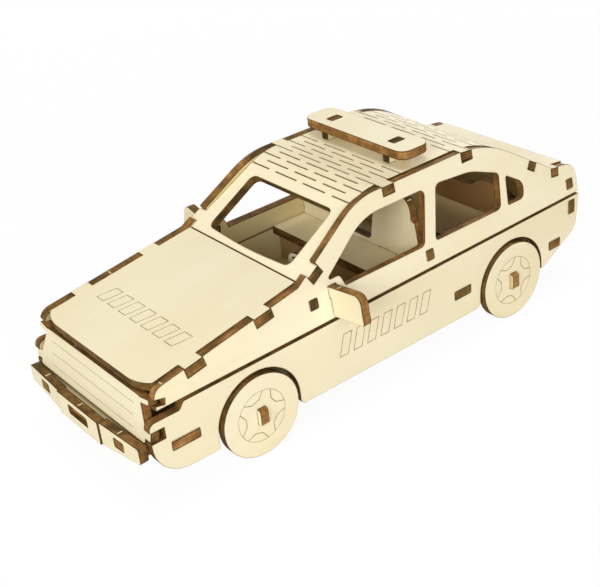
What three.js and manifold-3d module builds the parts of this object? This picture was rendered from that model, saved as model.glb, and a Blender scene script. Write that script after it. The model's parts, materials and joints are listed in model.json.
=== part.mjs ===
// A plywood puzzle car: flat laser-cut sheets held together by tabs and slots, a roof shell bent at
// rows of kerf cuts, and two axle strips that turn with their wheels.
// Millimetres, +Z up, nose towards -Y, left side of the car at +X.

import * as THREE from 'three';
import { mergeGeometries, mergeVertices } from 'three/addons/utils/BufferGeometryUtils.js';
import Module from 'manifold-3d';

// Sheet and fit
const PLY = 3.0; // sheet thickness
const FIT = 0.16; // clear gap round a tab and between neighbouring sheets
const SLOT_R = 0.45; // rounded corners of a cut slot
const TAB_PROUD = 0.2; // how far a side tab stands out of the face it passes through
const ARC_SAG = 0.03; // largest distance between a rounded outline and its chords

// Wheels, axles and their bearers
const WHEELBASE = 110;
const WHEEL_R = 14;
const WHEEL_PROUD = 0.8; // wheel face outside the lower side
const WHEEL_FACETS = 64;
const AXLE_DEPTH = 5.6; // height of the axle strip, one sheet wide
const AXLE_PROUD = 1.5; // axle end outside the wheel face
const AXLE_END_R = 1.0; // rounded corners of the axle ends
const ARCH_GAP = 1.4; // air between wheel and arch
const FLOOR_CLEAR = 0.4; // air between the turning axle and the floor
const BEARING_GAP = 0.3; // air round the turning axle in its bearing hole
const BEARER_WALL = 3.2; // wood round the bearing hole
const BEARER_TAB = 8; // tab of a bearer in the floor

// Lower sides
const HALF_WIDTH = 33.7; // outer face of the lower sides
const FRONT_OVERHANG = 37.4; // front axle to nose
const REAR_OVERHANG = 35; // rear axle to tail
const SILL_DROP = 4.4; // lower edge below the axle height
const SILL_R = 2.0; // rounded ends of the lower edge
const ARCH_BRIDGE = 2.8; // wood between the front arch and the seam
const NOSE_R = 12; // rounded lower nose
const LAMP_DEPTH = 2.3; // headlamp recess below the seam
const LAMP_LENGTH = 10.6; // headlamp recess back from the nose
const LAMP_RAKE = 1.6; // slope of the recess end
const LAMP_R = 2.2; // rounded front of the recess
const TAIL_RAKE = 1.5; // tail edge leaning in towards its lower end
const TAIL_CUT_RISE = 7.5; // where the tail turns under, above the axle height
const TAIL_CUT_R = 5;
const TAIL_TIP_DROP = 2; // lowest point behind the rear arch, below the axle height
const TAIL_TIP = 1.4; // length of that point

// Seam between the lower and the upper sides
const SEAM_PITCH_DEG = 0.9;
const SEAM_GAP_FRONT = 1.2;
const SEAM_GAP_REAR = 0.65;
const LEAN_DEG = 10.1; // inward lean of the upper sides

// Skyline of the upper sides and of the shell
const NOSE_SETBACK = 3.4; // upper nose behind the lower nose
const NOSE_TOP_R = 4;
const COWL_BACK = 22.3; // front axle to the joint of bonnet and windscreen
const COWL_RISE = 15.0; // joint above the seam
const COWL_GAP = 0.5;
const NOSE_RISE = 6.9; // bonnet front edge above the seam at the upper nose
const SCREEN_DEG = 30.6;
const SCREEN_BEND_R = 19.4;
const ROOF_RISE = 32.9; // roof above the seam
const REAR_BEND_R = 41;
const REAR_DEG = 31.7;
const DECK_BACK = 19.2; // rear axle to the foot of the rear window
const REAR_FOOT_RISE = 16.6; // that foot above the seam
const REAR_EDGE_BACK = 0.8; // sloping edge of the sides behind the rear window
const PILLAR_FOOT = 1.7; // foot of the front pillar ahead of the joint
const PILLAR_LEAD = 4.6; // front pillar crown ahead of the shell
const PILLAR_BEND_R = 25;
const BOOT_RISE = 14.4; // boot lid front edge above the seam
const BOOT_DEG = 6;
const BOOT_LENGTH = 12;
const BOOT_GAP = 0.5;
const DECK_R = 3;
const TAIL_TOP_R = 6;

// Side windows, measured along the leaning sheet
const WINDOW_SILL = 9.0; // lower edge above the seam
const ROOF_RAIL = 6.3; // wood between window and roof
const REAR_RAIL = 8.9; // wood between the rear windows and the sloping edge
const DOOR_LENGTH = 49.2; // joint of bonnet and windscreen to the middle pillar foot
const MIDDLE_PILLAR = 4.9;
const MIDDLE_PILLAR_LEAN = 0.21; // backward run of the pillar for each millimetre up
const FRONT_WINDOW_START = 8.8; // front corner behind the joint
const FRONT_WINDOW_CROWN = 3.8; // window crown ahead of the shell bend
const FRONT_WINDOW_R = 20;
const MIRROR_CAP = 1.9; // wood above the mirror tab, in a bump of the window sill
const MIRROR_WALL = 2.1; // wood behind the mirror tab
const BUMP_RUN = 1.5; // length of the bump's sloping end
const BUMP_R = 1.5; // its rounded crown
const REAR_WINDOW_FALL = 1.2; // drop of the rear window's upper edge towards its bend
const REAR_WINDOW_LEAN = 1.2; // backward run of its rear edge
const REAR_WINDOW_END = 3.1; // rear edge ahead of the rear axle
const REAR_WINDOW_BREAK = 7; // bend of its upper edge ahead of the shell bend
const REAR_PILLAR = 3.5;
const QUARTER_LENGTH = 7.6;
const WINDOW_R = 2.0;

// Tabs along the top of the upper sides
const BONNET_TABS = [[38.6, 45.1], [12.6, 19.0]]; // ahead of the bonnet's rear edge, along the sheet
const SCREEN_TAB = [2.7, 7.4]; // up from the shell's lower edge
const ROOF_TAB_FRONT = 8.2; // centre of the front roof tab behind the shell bend
const ROOF_TAB_REAR = 7.6; // centre of the rear roof tab ahead of the rear bend
const ROOF_TAB = 4.6;
const REAR_TAB = [3.6, 6.8]; // up from the rear window foot
const BOOT_TAB = [3.4, 6.6]; // back from the boot lid front edge

// Roof shell
const KERF = 0.32; // width of a hinge cut
const KERF_PITCH = 2.7; // hinge rows along the sheet
const HINGE_ZONE = 22; // length of sheet that carries hinge rows, at each bend
const KERF_DASH = 11; // length of a hinge cut
const KERF_BRIDGE = 3.3; // wood between two cuts of a row
const SCREEN_HALF = 21; // windscreen opening
const SCREEN_LOW = 3.0; // its lower edge up from the shell's edge
const SCREEN_BOW = 1.2; // how far that edge dips in the middle
const SCREEN_HIGH = 25.8; // its upper edge
const REAR_SCREEN_HALF = 19.5; // rear window opening
const REAR_SCREEN_LOW = 3.0;
const REAR_SCREEN_HIGH = 15.8;
const SCREEN_R = 2.4;

// Bonnet, grille and bumper
const BONNET_LEAD = 0.6; // bonnet front edge ahead of the upper nose
const BONNET_CORNER = 26.2; // where the lines of the front edge and of a rounded corner meet
const BONNET_CORNER_R = 14.8;
const BONNET_CORNER_DEG = 42; // how far a corner turns before it reaches the side
const GRILLE_DEG = 12; // backward lean
const GRILLE_LEAD = 0.3; // grille top ahead of the bonnet
const GRILLE_FOOT = 0.6; // grille lower edge above the floor
const GRILLE_INSET = 3.7; // grille top corner inside its lower edge
const GRILLE_SHOULDER = 9.2; // length of its slanting edge
const GRILLE_TOP_TAB = 1.7; // height of the upper tabs, square to the leaning sides
const GRILLE_TAB_DROP = 0.63; // middle of an upper tab below the grille top
const GRILLE_TAB_ROOT = 1.0; // where that is measured, inside the grille edge
const GRILLE_TAB_SHORT = 2.1; // upper tab end inside the outer face
const GRILLE_LOW_SHORT = 0.4; // lower tab end inside the outer face
const GRILLE_LOW_TAB = [3.0, 5.9]; // lower tabs above the floor
const GRILLE_SLACK = 1.3; // empty room behind a tab in its notch
const BUMPER_GAP = 0.4; // air between the grille foot and the bumper ends
const BUMPER_MIDDLE = 12; // half width of the middle sheet
const BUMPER_END = 1.5; // bumper end inside the side face
const BUMPER_RISE = 1.9; // upper edge above the floor
const BUMPER_DROP = 3.0; // lower edge below the floor, in the middle
const BUMPER_END_DROP = 0.7; // and at the ends
const BUMPER_SWEEP_DEG = 3.2;
const BUMPER_STEP = 0.5; // side sheets behind the middle one
const BUMPER_TAB = 5.4; // half width of the middle floor tab
const BUMPER_SIDE_TAB = 4.6; // width of the side floor tabs
const BUMPER_SIDE_TAB_AT = 21.8;

// Floor tabs in the lower sides, from the axles
const FLOOR_TAB_FRONT = [-30.9, -21.4];
const FLOOR_TAB_DOOR = [-27.4, -20.0];
const FLOOR_TAB_REAR = [19.5, 25.0];
const PEG_AT = 14; // middle of the two tabs that hold a crosswise sheet in the floor
const PEG = 8; // width of such a tab

// Tail panel
const TAIL_PANEL_INSET = 5.5; // panel front face ahead of the tail
const TAIL_PANEL_RISE = 9.2; // lower edge above the axle height
const TAIL_TAB_LOW = [-6.4, -1.6]; // lower tab, below the seam
const TAIL_TAB_HIGH = [2.9, 6.1]; // upper tab, above the seam

// Dashboard and steering
const DASH_BACK = 1.1; // bulkhead behind the joint
const DASH_TAB = [6.2, 9.2]; // tab above the seam
const STEER_X = 14.3;
const STEER_BACK = 13.2; // wheel centre behind the joint
const STEER_DROP = 12.2; // wheel centre below the windscreen
const STEER_R = 5.2;
const STEER_RIM = 1.5;
const STEER_BAR = 5.4;
const COLUMN_DEG = 10;
const COLUMN_DEPTH = 3.2;

// Seats
const SEAT_HEIGHT = 13.5; // seat surface above the floor
const SEAT_DEPTH = 14.4;
const SEAT_RISER_BACK = 2.5; // riser behind the seat front edge
const SEAT_TAB = [3.7, 6.9]; // side tab of the seat back above the seam
const SEAT_SHOULDER = 28; // shoulder above the floor
const SEAT_TOP = 36.4; // headrest top above the floor
const SEAT_GAP = 5.6; // half width of the gap between the seats
const SEAT_GAP_RISE = 15; // bottom of that gap above the floor
const HEADREST = [9.2, 26]; // inner and outer edge
const HEADREST_R = 6;
const BENCH_HEIGHT = 9.3;
const BENCH_FRONT = 13; // bench front edge ahead of the rear axle
const BENCH_BACK = 9; // rear back behind the rear axle
const BENCH_RISER_BACK = 2.5;
const HUMP = 21.8; // humps of the rear back above the floor
const HUMP_AT = 15;
const HUMP_HALF = 8.5;
const HUMP_DIP = 18.1; // dip between the humps
const HUMP_R = 7;

// Light bar and mirrors
const BAR_BACK = 24.1; // middle of the bar behind the front roof bend
const BAR_HALF = 24.75;
const BAR_WIDTH = 12.4;
const BAR_R = 3.8;
const BAR_LIFT = 3.3; // air between roof and bar
const FOOT_AT = 15.2;
const FOOT_LENGTH = 9.6;
const FOOT_TAB = 4.6;
const FOOT_RECESS = 0.4; // top of a foot's tab below the bar
const MIRROR_BACK = 10.5; // middle of the mirror behind the joint
const MIRROR_LENGTH = [14.52, 13.87]; // left and right
const MIRROR_LOW = 1.25; // mirror above the seam, along the leaning sheet
const MIRROR_HIGH = 11.1;
const MIRROR_TAB = 3.6;
const MIRROR_R = 2.8;
const MIRROR_GAP = 0.6; // mirror edge clear of the side
const MIRROR_TIP = [-2.5, 5]; // how the left and the right mirror tip up in their slots

// Colours of the sheets
const BIRCH = '#e9dab4';
const BIRCH_INSIDE = '#dccaa0';
const BIRCH_WHEEL = '#e4d3aa';

// Derived heights and stations
const rad = THREE.MathUtils.degToRad;
const sin = (degrees) => Math.sin(rad(degrees));
const cos = (degrees) => Math.cos(rad(degrees));
const tan = (degrees) => Math.tan(rad(degrees));
const REACH = 4 * WHEELBASE;
const WIDE = HALF_WIDTH + 4 * PLY;

const frontAxleY = -WHEELBASE / 2;
const rearAxleY = WHEELBASE / 2;
const axleZ = WHEEL_R;
const axleR = Math.hypot(PLY, AXLE_DEPTH) / 2;
const archR = WHEEL_R + ARCH_GAP;
const archTop = axleZ + archR;
const sillZ = axleZ - SILL_DROP;
const floorZ = axleZ + axleR + FLOOR_CLEAR;
const floorTop = floorZ + PLY;
const noseY = frontAxleY - FRONT_OVERHANG;
const tailY = rearAxleY + REAR_OVERHANG;
const seamAt = (y) => archTop + ARCH_BRIDGE + (y - frontAxleY) * tan(SEAM_PITCH_DEG);
const leanZ = seamAt(0);
const upAlong = (z) => (z - leanZ) / cos(LEAN_DEG);

const cowlY = frontAxleY + COWL_BACK;
const cowlZ = leanZ + COWL_RISE;
const bonnetRearY = cowlY - COWL_GAP / 2;
const upperNoseY = noseY + NOSE_SETBACK;
const bonnetNoseY = upperNoseY - BONNET_LEAD;
const bonnetNoseZ = seamAt(upperNoseY) + NOSE_RISE;
const bonnetRun = bonnetRearY - bonnetNoseY;
const bonnetDegrees = THREE.MathUtils.radToDeg(Math.atan2(cowlZ - bonnetNoseZ, bonnetRun));
const bonnetLength = Math.hypot(cowlZ - bonnetNoseZ, bonnetRun);
const bonnetTop = (y) => cowlZ + (y - bonnetRearY) * tan(bonnetDegrees);
const shellStartY = cowlY + COWL_GAP / 2;
const roofZ = leanZ + ROOF_RISE;
const frontBendY = shellStartY + (roofZ - cowlZ) / tan(SCREEN_DEG);
const shellEndY = rearAxleY + DECK_BACK;
const shellEndZ = leanZ + REAR_FOOT_RISE;
const rearBendY = shellEndY - (roofZ - shellEndZ) / tan(REAR_DEG);
const frontBendRun = SCREEN_BEND_R * tan(SCREEN_DEG / 2);
const rearBendRun = REAR_BEND_R * tan(REAR_DEG / 2);
const bootY = shellEndY + BOOT_GAP;
const bootZ = leanZ + BOOT_RISE;
const bootTop = (y) => bootZ - (y - bootY) * tan(BOOT_DEG);
const middlePillarY = cowlY + DOOR_LENGTH;
const tailPanelY = tailY - TAIL_PANEL_INSET;

// Joining and cutting
const wasm = await Module();
wasm.setup();

function solid(geometry) {
  const bare = geometry.clone();
  bare.deleteAttribute('normal');
  bare.deleteAttribute('uv');
  const welded = mergeVertices(bare, 1e-4);
  return new wasm.Manifold(new wasm.Mesh({
    numProp: 3,
    vertProperties: new Float32Array(welded.attributes.position.array),
    triVerts: new Uint32Array(welded.index.array),
  }));
}

function unite(first, ...rest) {
  return rest.reduce((whole, next) => whole.add(next), first);
}

function cut(body, ...tools) {
  return tools.reduce((whole, tool) => whole.subtract(tool), body);
}

// Frames: a drawing in u and v, thickness along w
const X = new THREE.Vector3(1, 0, 0);
const Y = new THREE.Vector3(0, 1, 0);
const Z = new THREE.Vector3(0, 0, 1);
const basis = (u, v, w) => new THREE.Matrix4().makeBasis(u, v, w);
const LEVEL = new THREE.Matrix4();
const SIDE_ON = basis(Y, Z, X);
const HEAD_ON = basis(X, Z, Y.clone().negate());
const HEAD_ON_RIGHT = basis(X.clone().negate(), Z, Y);

const at = (x, y, z) => new THREE.Matrix4().makeTranslation(x, y, z);
const turnX = (degrees) => new THREE.Matrix4().makeRotationX(rad(degrees));
const turnY = (degrees) => new THREE.Matrix4().makeRotationY(rad(degrees));
const turnZ = (degrees) => new THREE.Matrix4().makeRotationZ(rad(degrees));
const chain = (...steps) => steps.reduce((all, next) => all.multiply(next), new THREE.Matrix4());

// An outline from corners [u, v, radius]; a radius is limited by the room its edges leave
function rounded(corners) {
  const n = corners.length;
  const spots = corners.map(([u, v]) => new THREE.Vector2(u, v));
  const edges = spots.map((spot, i) => {
    const back = spots[(i + n - 1) % n].clone().sub(spot).normalize();
    const ahead = spots[(i + 1) % n].clone().sub(spot).normalize();
    const half = Math.acos(THREE.MathUtils.clamp(back.dot(ahead), -1, 1)) / 2;
    const run = (corners[i][2] ?? 0) / Math.tan(half);
    return { back, ahead, half, run, share: 1 };
  });
  edges.forEach((edge, i) => {
    const next = edges[(i + 1) % n];
    const room = spots[i].distanceTo(spots[(i + 1) % n]);
    const wanted = edge.run + next.run;
    const share = wanted > room ? room / wanted : 1;
    edge.share = Math.min(edge.share, share);
    next.share = Math.min(next.share, share);
  });
  const points = [];
  const push = (point) => {
    const last = points[points.length - 1];
    if (!last || last.distanceTo(point) > 1e-3) {
      points.push(point);
    }
  };
  edges.forEach(({ back, ahead, half, run, share }, i) => {
    const reach = run * share;
    if (reach < 1e-3) {
      push(spots[i]);
      return;
    }
    const radius = reach * Math.tan(half);
    const middle = back.clone().add(ahead).normalize();
    const centre = spots[i].clone().addScaledVector(middle, radius / Math.sin(half));
    const start = spots[i].clone().addScaledVector(back, reach).sub(centre);
    const end = spots[i].clone().addScaledVector(ahead, reach).sub(centre);
    const sweep = Math.atan2(start.cross(end), start.dot(end));
    const step = 2 * Math.acos(1 - Math.min(ARC_SAG / radius, 0.5));
    const steps = Math.max(1, Math.ceil(Math.abs(sweep) / step));
    for (let k = 0; k <= steps; k += 1) {
      push(start.clone().rotateAround(new THREE.Vector2(), (sweep * k) / steps).add(centre));
    }
  });
  if (points[0].distanceTo(points[points.length - 1]) < 1e-3) {
    points.pop();
  }
  return points;
}

const mirrored = (corners) => [
  ...corners,
  ...corners.slice().reverse().map(([u, v, r]) => [-u, v, r]),
];

function sheet(points, matrix, depth = PLY) {
  const shape = new THREE.Shape(points);
  const geometry = new THREE.ExtrudeGeometry(shape, { depth, bevelEnabled: false });
  return solid(geometry.applyMatrix4(matrix));
}

function boxGeometry([u0, u1], [v0, v1], [w0, w1], matrix = LEVEL) {
  const geometry = new THREE.BoxGeometry(u1 - u0, v1 - v0, w1 - w0);
  geometry.translate((u0 + u1) / 2, (v0 + v1) / 2, (w0 + w1) / 2);
  return geometry.applyMatrix4(matrix);
}

const block = (u, v, w, matrix) => solid(boxGeometry(u, v, w, matrix));
const grow = ([low, high]) => [low - FIT, high + FIT];
const across = [-WIDE, WIDE];

// Outline of the slot for a tab of the given spans
function slotOutline(u, v) {
  const [u0, u1] = grow(u);
  const [v0, v1] = grow(v);
  return rounded([[u0, v0, SLOT_R], [u1, v0, SLOT_R], [u1, v1, SLOT_R], [u0, v1, SLOT_R]]);
}

const sideSlot = (y, z) => sheet(slotOutline(y, z), chain(at(-WIDE, 0, 0), SIDE_ON), 2 * WIDE);

// Room between the two sides, a given distance inside their outer faces
function between(inset) {
  const face = (s) => [
    HALF_WIDTH - inset * cos(LEAN_DEG) - s * sin(LEAN_DEG),
    leanZ - inset * sin(LEAN_DEG) + s * cos(LEAN_DEG),
  ];
  const kink = face(inset * tan(LEAN_DEG / 2));
  const half = [[kink[0], -REACH], kink, face(2 * ROOF_RISE)];
  return sheet(rounded(mirrored(half)), chain(at(0, REACH, 0), HEAD_ON), 2 * REACH);
}

const inside = between(PLY + FIT);
const outside = between(-TAB_PROUD);

// A sheet trimmed to the inside of the car, with tabs left where the regions reach the outer faces
function trimmed(body, ...regions) {
  return unite(body.intersect(inside), ...regions.map((region) => body.intersect(region).intersect(outside)));
}

const cutsLower = [];
const cutsUpper = [];
const cutsFloor = [];

// Crosswise upright sheet: an outline in X and Z, side tabs by height, pegs down into the floor
function crosswise(y, corners, { lowerTabs = [], upperTabs = [], pegs = [] } = {}) {
  const depth = [y, y + PLY];
  const body = sheet(rounded(corners), chain(at(0, y + PLY, 0), HEAD_ON));
  const tabs = [...lowerTabs, ...upperTabs];
  cutsLower.push(...lowerTabs.map((z) => sideSlot(depth, z)));
  cutsUpper.push(...upperTabs.map((z) => sideSlot(depth, z)));
  const pegSpans = pegs.map((x) => [x - PEG / 2, x + PEG / 2]);
  cutsFloor.push(...pegSpans.map((span) => block(grow(span), grow(depth), grow([floorZ, floorTop]))));
  const shaped = trimmed(body, ...tabs.map((z) => block(across, depth, z)));
  return unite(shaped, ...pegSpans.map((span) => block(span, depth, [floorZ, floorTop + PLY])));
}

// Scene graph
const car = new THREE.Group();

function group(matrix, parent = car) {
  const made = new THREE.Group();
  made.applyMatrix4(matrix);
  parent.add(made);
  made.updateWorldMatrix(true, false);
  return made;
}

// Adds a solid drawn in car coordinates to a group, in that group's own coordinates
function add(parent, name, body, colour = BIRCH) {
  const raw = body.getMesh();
  const geometry = new THREE.BufferGeometry();
  geometry.setAttribute('position', new THREE.Float32BufferAttribute(raw.vertProperties, 3));
  geometry.setIndex(Array.from(raw.triVerts));
  geometry.applyMatrix4(parent.matrixWorld.clone().invert());
  geometry.computeVertexNormals();
  const material = new THREE.MeshStandardMaterial({ color: colour, roughness: 0.72, metalness: 0 });
  const mesh = new THREE.Mesh(geometry, material);
  mesh.name = name;
  parent.add(mesh);
}

// Floor, with tabs through the lower sides and through the bumper
const grilleY = bonnetNoseY - GRILLE_LEAD;
const grilleTop = bonnetNoseZ - PLY * cos(bonnetDegrees) - 2 * FIT;
const grilleHeight = (grilleTop - floorTop - GRILLE_FOOT) / cos(GRILLE_DEG) - PLY * tan(GRILLE_DEG);
const grilleFootY = grilleY - grilleHeight * sin(GRILLE_DEG);
const bumperRun = HALF_WIDTH - BUMPER_END - BUMPER_MIDDLE - 2 * FIT;
const bumperSetback = BUMPER_STEP + bumperRun * tan(BUMPER_SWEEP_DEG);
const bumperY = Math.min(grilleFootY, noseY) - BUMPER_GAP - PLY - bumperSetback;
const floorSpan = [floorZ, floorTop];
const floorTabs = [
  FLOOR_TAB_FRONT.map((y) => frontAxleY + y),
  FLOOR_TAB_DOOR.map((y) => rearAxleY + y),
  FLOOR_TAB_REAR.map((y) => rearAxleY + y),
];
const floorRear = tailPanelY - FIT;
const floorSheet = block(across, [bumperY + PLY + FIT, floorRear], floorSpan);
cutsLower.push(...floorTabs.map((y) => sideSlot(y, floorSpan)));

// Bumper: a middle sheet and two swept side sheets
const bumperHigh = floorTop + BUMPER_RISE;
const bumperLow = floorZ - BUMPER_DROP;
const bumperEndLow = floorZ - BUMPER_END_DROP;
const bumperInner = BUMPER_MIDDLE + 2 * FIT;
const bumperSide = bumperRun / cos(BUMPER_SWEEP_DEG);
const bumperSideY = bumperY + BUMPER_STEP;
const leftSweep = chain(at(bumperInner, bumperSideY, 0), turnZ(BUMPER_SWEEP_DEG));
const rightSweep = chain(at(-bumperInner, bumperSideY, 0), turnZ(-BUMPER_SWEEP_DEG));
const bumperSideOutline = rounded([
  [0, bumperLow],
  [bumperSide, bumperEndLow, 1],
  [bumperSide, bumperHigh, 1],
  [0, bumperHigh],
]);
const bumperMiddle = sheet(
  rounded(mirrored([[BUMPER_MIDDLE, bumperLow], [BUMPER_MIDDLE, bumperHigh]])),
  chain(at(0, bumperY + PLY, 0), HEAD_ON),
);
const bumperLeft = sheet(bumperSideOutline, chain(leftSweep, at(0, PLY, 0), HEAD_ON));
const bumperRight = sheet(bumperSideOutline, chain(rightSweep, HEAD_ON_RIGHT));
const clearBehind = [0, PLY + FIT];
const bumperRoom = [
  block([-FIT, bumperSide + FIT], clearBehind, [-REACH, REACH], leftSweep),
  block([-bumperSide - FIT, FIT], clearBehind, [-REACH, REACH], rightSweep),
];
const bumperTabs = [
  [-BUMPER_TAB, BUMPER_TAB],
  [BUMPER_SIDE_TAB_AT - BUMPER_SIDE_TAB / 2, BUMPER_SIDE_TAB_AT + BUMPER_SIDE_TAB / 2],
  [-BUMPER_SIDE_TAB_AT - BUMPER_SIDE_TAB / 2, -BUMPER_SIDE_TAB_AT + BUMPER_SIDE_TAB / 2],
];
const tabReach = [bumperY + 2 * BUMPER_STEP, noseY];
const bumperSlots = bumperTabs.map((x) => (
  sheet(slotOutline(x, floorSpan), chain(at(0, noseY, 0), HEAD_ON), noseY - bumperY + PLY)
));

// Axle bearers hang from the floor just inside the lower sides
const bearerX = [HALF_WIDTH - 2 * PLY - FIT, HALF_WIDTH - PLY - FIT];
const bearerR = axleR + BEARING_GAP + BEARER_WALL;

function bearer(y, side) {
  const outline = rounded([
    [y - bearerR, floorZ - FIT],
    [y - BEARER_TAB / 2, floorZ - FIT],
    [y - BEARER_TAB / 2, floorTop],
    [y + BEARER_TAB / 2, floorTop],
    [y + BEARER_TAB / 2, floorZ - FIT],
    [y + bearerR, floorZ - FIT],
    [y + bearerR, axleZ - bearerR, bearerR],
    [y - bearerR, axleZ - bearerR, bearerR],
  ]);
  const hole = new THREE.CylinderGeometry(axleR + BEARING_GAP, axleR + BEARING_GAP, 4 * PLY, 40);
  hole.applyMatrix4(chain(at(side * bearerX[0], y, axleZ), turnZ(90)));
  const x = side > 0 ? bearerX[0] : -bearerX[1];
  cutsFloor.push(block(
    side > 0 ? [bearerX[0] - FIT, WIDE] : [-WIDE, FIT - bearerX[0]],
    grow([y - BEARER_TAB / 2, y + BEARER_TAB / 2]),
    grow(floorSpan),
  ));
  return cut(sheet(outline, chain(at(x, 0, 0), SIDE_ON)), solid(hole));
}

const bearers = [
  ['axle_bearer_front_left', bearer(frontAxleY, 1)],
  ['axle_bearer_front_right', bearer(frontAxleY, -1)],
  ['axle_bearer_rear_left', bearer(rearAxleY, 1)],
  ['axle_bearer_rear_right', bearer(rearAxleY, -1)],
];

// Bonnet, drawn in its own sloping plane back from zero
const bonnetFrame = chain(at(0, bonnetRearY, cowlZ), turnX(bonnetDegrees));
const bonnetDepth = [-PLY, 0];
const openUpwards = [-PLY - FIT, REACH];
const bonnetSpans = BONNET_TABS.map(([near, far]) => [-far, -near]);
const bonnetOutline = rounded(mirrored([
  [WIDE, 0],
  [WIDE, (WIDE - BONNET_CORNER) * tan(BONNET_CORNER_DEG) - bonnetLength],
  [BONNET_CORNER, -bonnetLength, BONNET_CORNER_R],
]));
const bonnet = trimmed(
  sheet(bonnetOutline, chain(bonnetFrame, at(0, 0, -PLY))),
  ...bonnetSpans.map((v) => block(across, v, bonnetDepth, bonnetFrame)),
);
cutsUpper.push(...bonnetSpans.map((v) => block(across, grow(v), openUpwards, bonnetFrame)));

// Roof shell: windscreen, roof and rear window in one bent sheet
const screenFrame = chain(at(0, shellStartY, cowlZ), turnX(SCREEN_DEG));
const rearFrame = chain(at(0, shellEndY, shellEndZ), turnX(-REAR_DEG));
const squareEnd = (y, z, degrees) => [y + PLY * sin(degrees), z - PLY * cos(degrees)];
const shellOutline = rounded([
  [shellStartY, cowlZ],
  [frontBendY, roofZ, SCREEN_BEND_R],
  [rearBendY, roofZ, REAR_BEND_R],
  [shellEndY, shellEndZ],
  squareEnd(shellEndY, shellEndZ, -REAR_DEG),
  [rearBendY - PLY * tan(REAR_DEG / 2), roofZ - PLY, REAR_BEND_R - PLY],
  [frontBendY + PLY * tan(SCREEN_DEG / 2), roofZ - PLY, SCREEN_BEND_R - PLY],
  squareEnd(shellStartY, cowlZ, SCREEN_DEG),
]);
const roofSpans = [frontBendY + ROOF_TAB_FRONT, rearBendY - ROOF_TAB_REAR]
  .map((y) => [y - ROOF_TAB / 2, y + ROOF_TAB / 2]);
const roofDrop = (y) => {
  const run = Math.max(0, y - rearBendY + rearBendRun);
  return REAR_BEND_R - Math.sqrt(REAR_BEND_R ** 2 - run ** 2);
};
const rearSpan = REAR_TAB.map((v) => -v).reverse();
const shellTabs = [
  block(across, SCREEN_TAB, bonnetDepth, screenFrame),
  block(across, rearSpan, bonnetDepth, rearFrame),
  ...roofSpans.map((y) => block(across, y, [roofZ - 2 * PLY, roofZ + PLY])),
];
cutsUpper.push(
  block(across, grow(SCREEN_TAB), openUpwards, screenFrame),
  block(across, grow(rearSpan), openUpwards, rearFrame),
  ...roofSpans.map((y) => block(across, grow(y), [roofZ - roofDrop(y[1]) - PLY - FIT, REACH])),
);

// Openings of the windscreen and of the rear window
const screenOpening = rounded([
  [-SCREEN_HALF, SCREEN_LOW, SCREEN_R],
  [0, SCREEN_LOW - SCREEN_BOW, 180],
  [SCREEN_HALF, SCREEN_LOW, SCREEN_R],
  [SCREEN_HALF - 0.5, SCREEN_HIGH, SCREEN_R],
  [0.5 - SCREEN_HALF, SCREEN_HIGH, SCREEN_R],
]);
const rearOpening = rounded(mirrored([
  [REAR_SCREEN_HALF, -REAR_SCREEN_LOW, SCREEN_R],
  [REAR_SCREEN_HALF - 0.8, -REAR_SCREEN_HIGH, SCREEN_R],
]));
const throughSheet = at(0, 0, -2 * PLY);

// Hinge rows: staggered kerf cuts that let the sheet bend
function bendRows(startY, startZ, startDegrees, radius, turn) {
  const whole = Math.abs(turn);
  const bend = rad(whole) * radius;
  const pitch = KERF_DASH + KERF_BRIDGE;
  const cuts = [];
  for (let row = 0; row * KERF_PITCH <= HINGE_ZONE; row += 1) {
    const along = row * KERF_PITCH;
    const turned = -Math.min(along, bend) / radius;
    const past = Math.max(0, along - bend);
    const heading = rad(startDegrees) + turned;
    const y = startY + radius * (Math.sin(rad(startDegrees)) - Math.sin(heading)) + past * Math.cos(heading);
    const z = startZ + radius * (Math.cos(heading) - Math.cos(rad(startDegrees))) + past * Math.sin(heading);
    const frame = chain(at(0, y, z), turnX(THREE.MathUtils.radToDeg(heading)));
    const closed = [-pitch, 0, pitch].map((x) => [x - KERF_DASH / 2, x + KERF_DASH / 2]);
    const open = [-1, 1].flatMap((side) => [
      [side * pitch / 2 - KERF_DASH / 2, side * pitch / 2 + KERF_DASH / 2],
      [pitch + KERF_BRIDGE / 2, WIDE].map((x) => side * x).sort((a, b) => a - b),
    ]);
    (row % 2 ? closed : open).forEach((span) => {
      cuts.push(boxGeometry(span, [-KERF / 2, KERF / 2], [-2 * PLY, PLY], frame));
    });
  }
  return cuts;
}

const hingeCuts = [
  ...bendRows(
    frontBendY - frontBendRun * cos(SCREEN_DEG),
    roofZ - frontBendRun * sin(SCREEN_DEG),
    SCREEN_DEG,
    SCREEN_BEND_R,
    SCREEN_DEG,
  ),
  ...bendRows(rearBendY - rearBendRun, roofZ, 0, REAR_BEND_R, REAR_DEG),
];

// Light bar on two feet
const barY = frontBendY + BAR_BACK;
const barZ = roofZ + BAR_LIFT;
const footTab = [barY - FOOT_TAB / 2, barY + FOOT_TAB / 2];
const footSpans = [FOOT_AT, -FOOT_AT].map((x) => [x - PLY / 2, x + PLY / 2]);
const footSlots = footSpans.map((x) => (
  sheet(slotOutline(x, footTab), at(0, 0, roofZ - 2 * PLY), BAR_LIFT + 4 * PLY)
));
const feet = footSpans.map((x) => unite(
  block(x, [barY - FOOT_LENGTH / 2, barY + FOOT_LENGTH / 2], [roofZ + FIT, barZ - FIT]),
  block(x, footTab, [roofZ - PLY, barZ + PLY - FOOT_RECESS]),
));
const barOutline = rounded(mirrored([
  [BAR_HALF, barY - BAR_WIDTH / 2, BAR_R],
  [BAR_HALF, barY + BAR_WIDTH / 2, BAR_R],
]));
const lightBar = cut(sheet(barOutline, at(0, 0, barZ)), ...footSlots);

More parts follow.
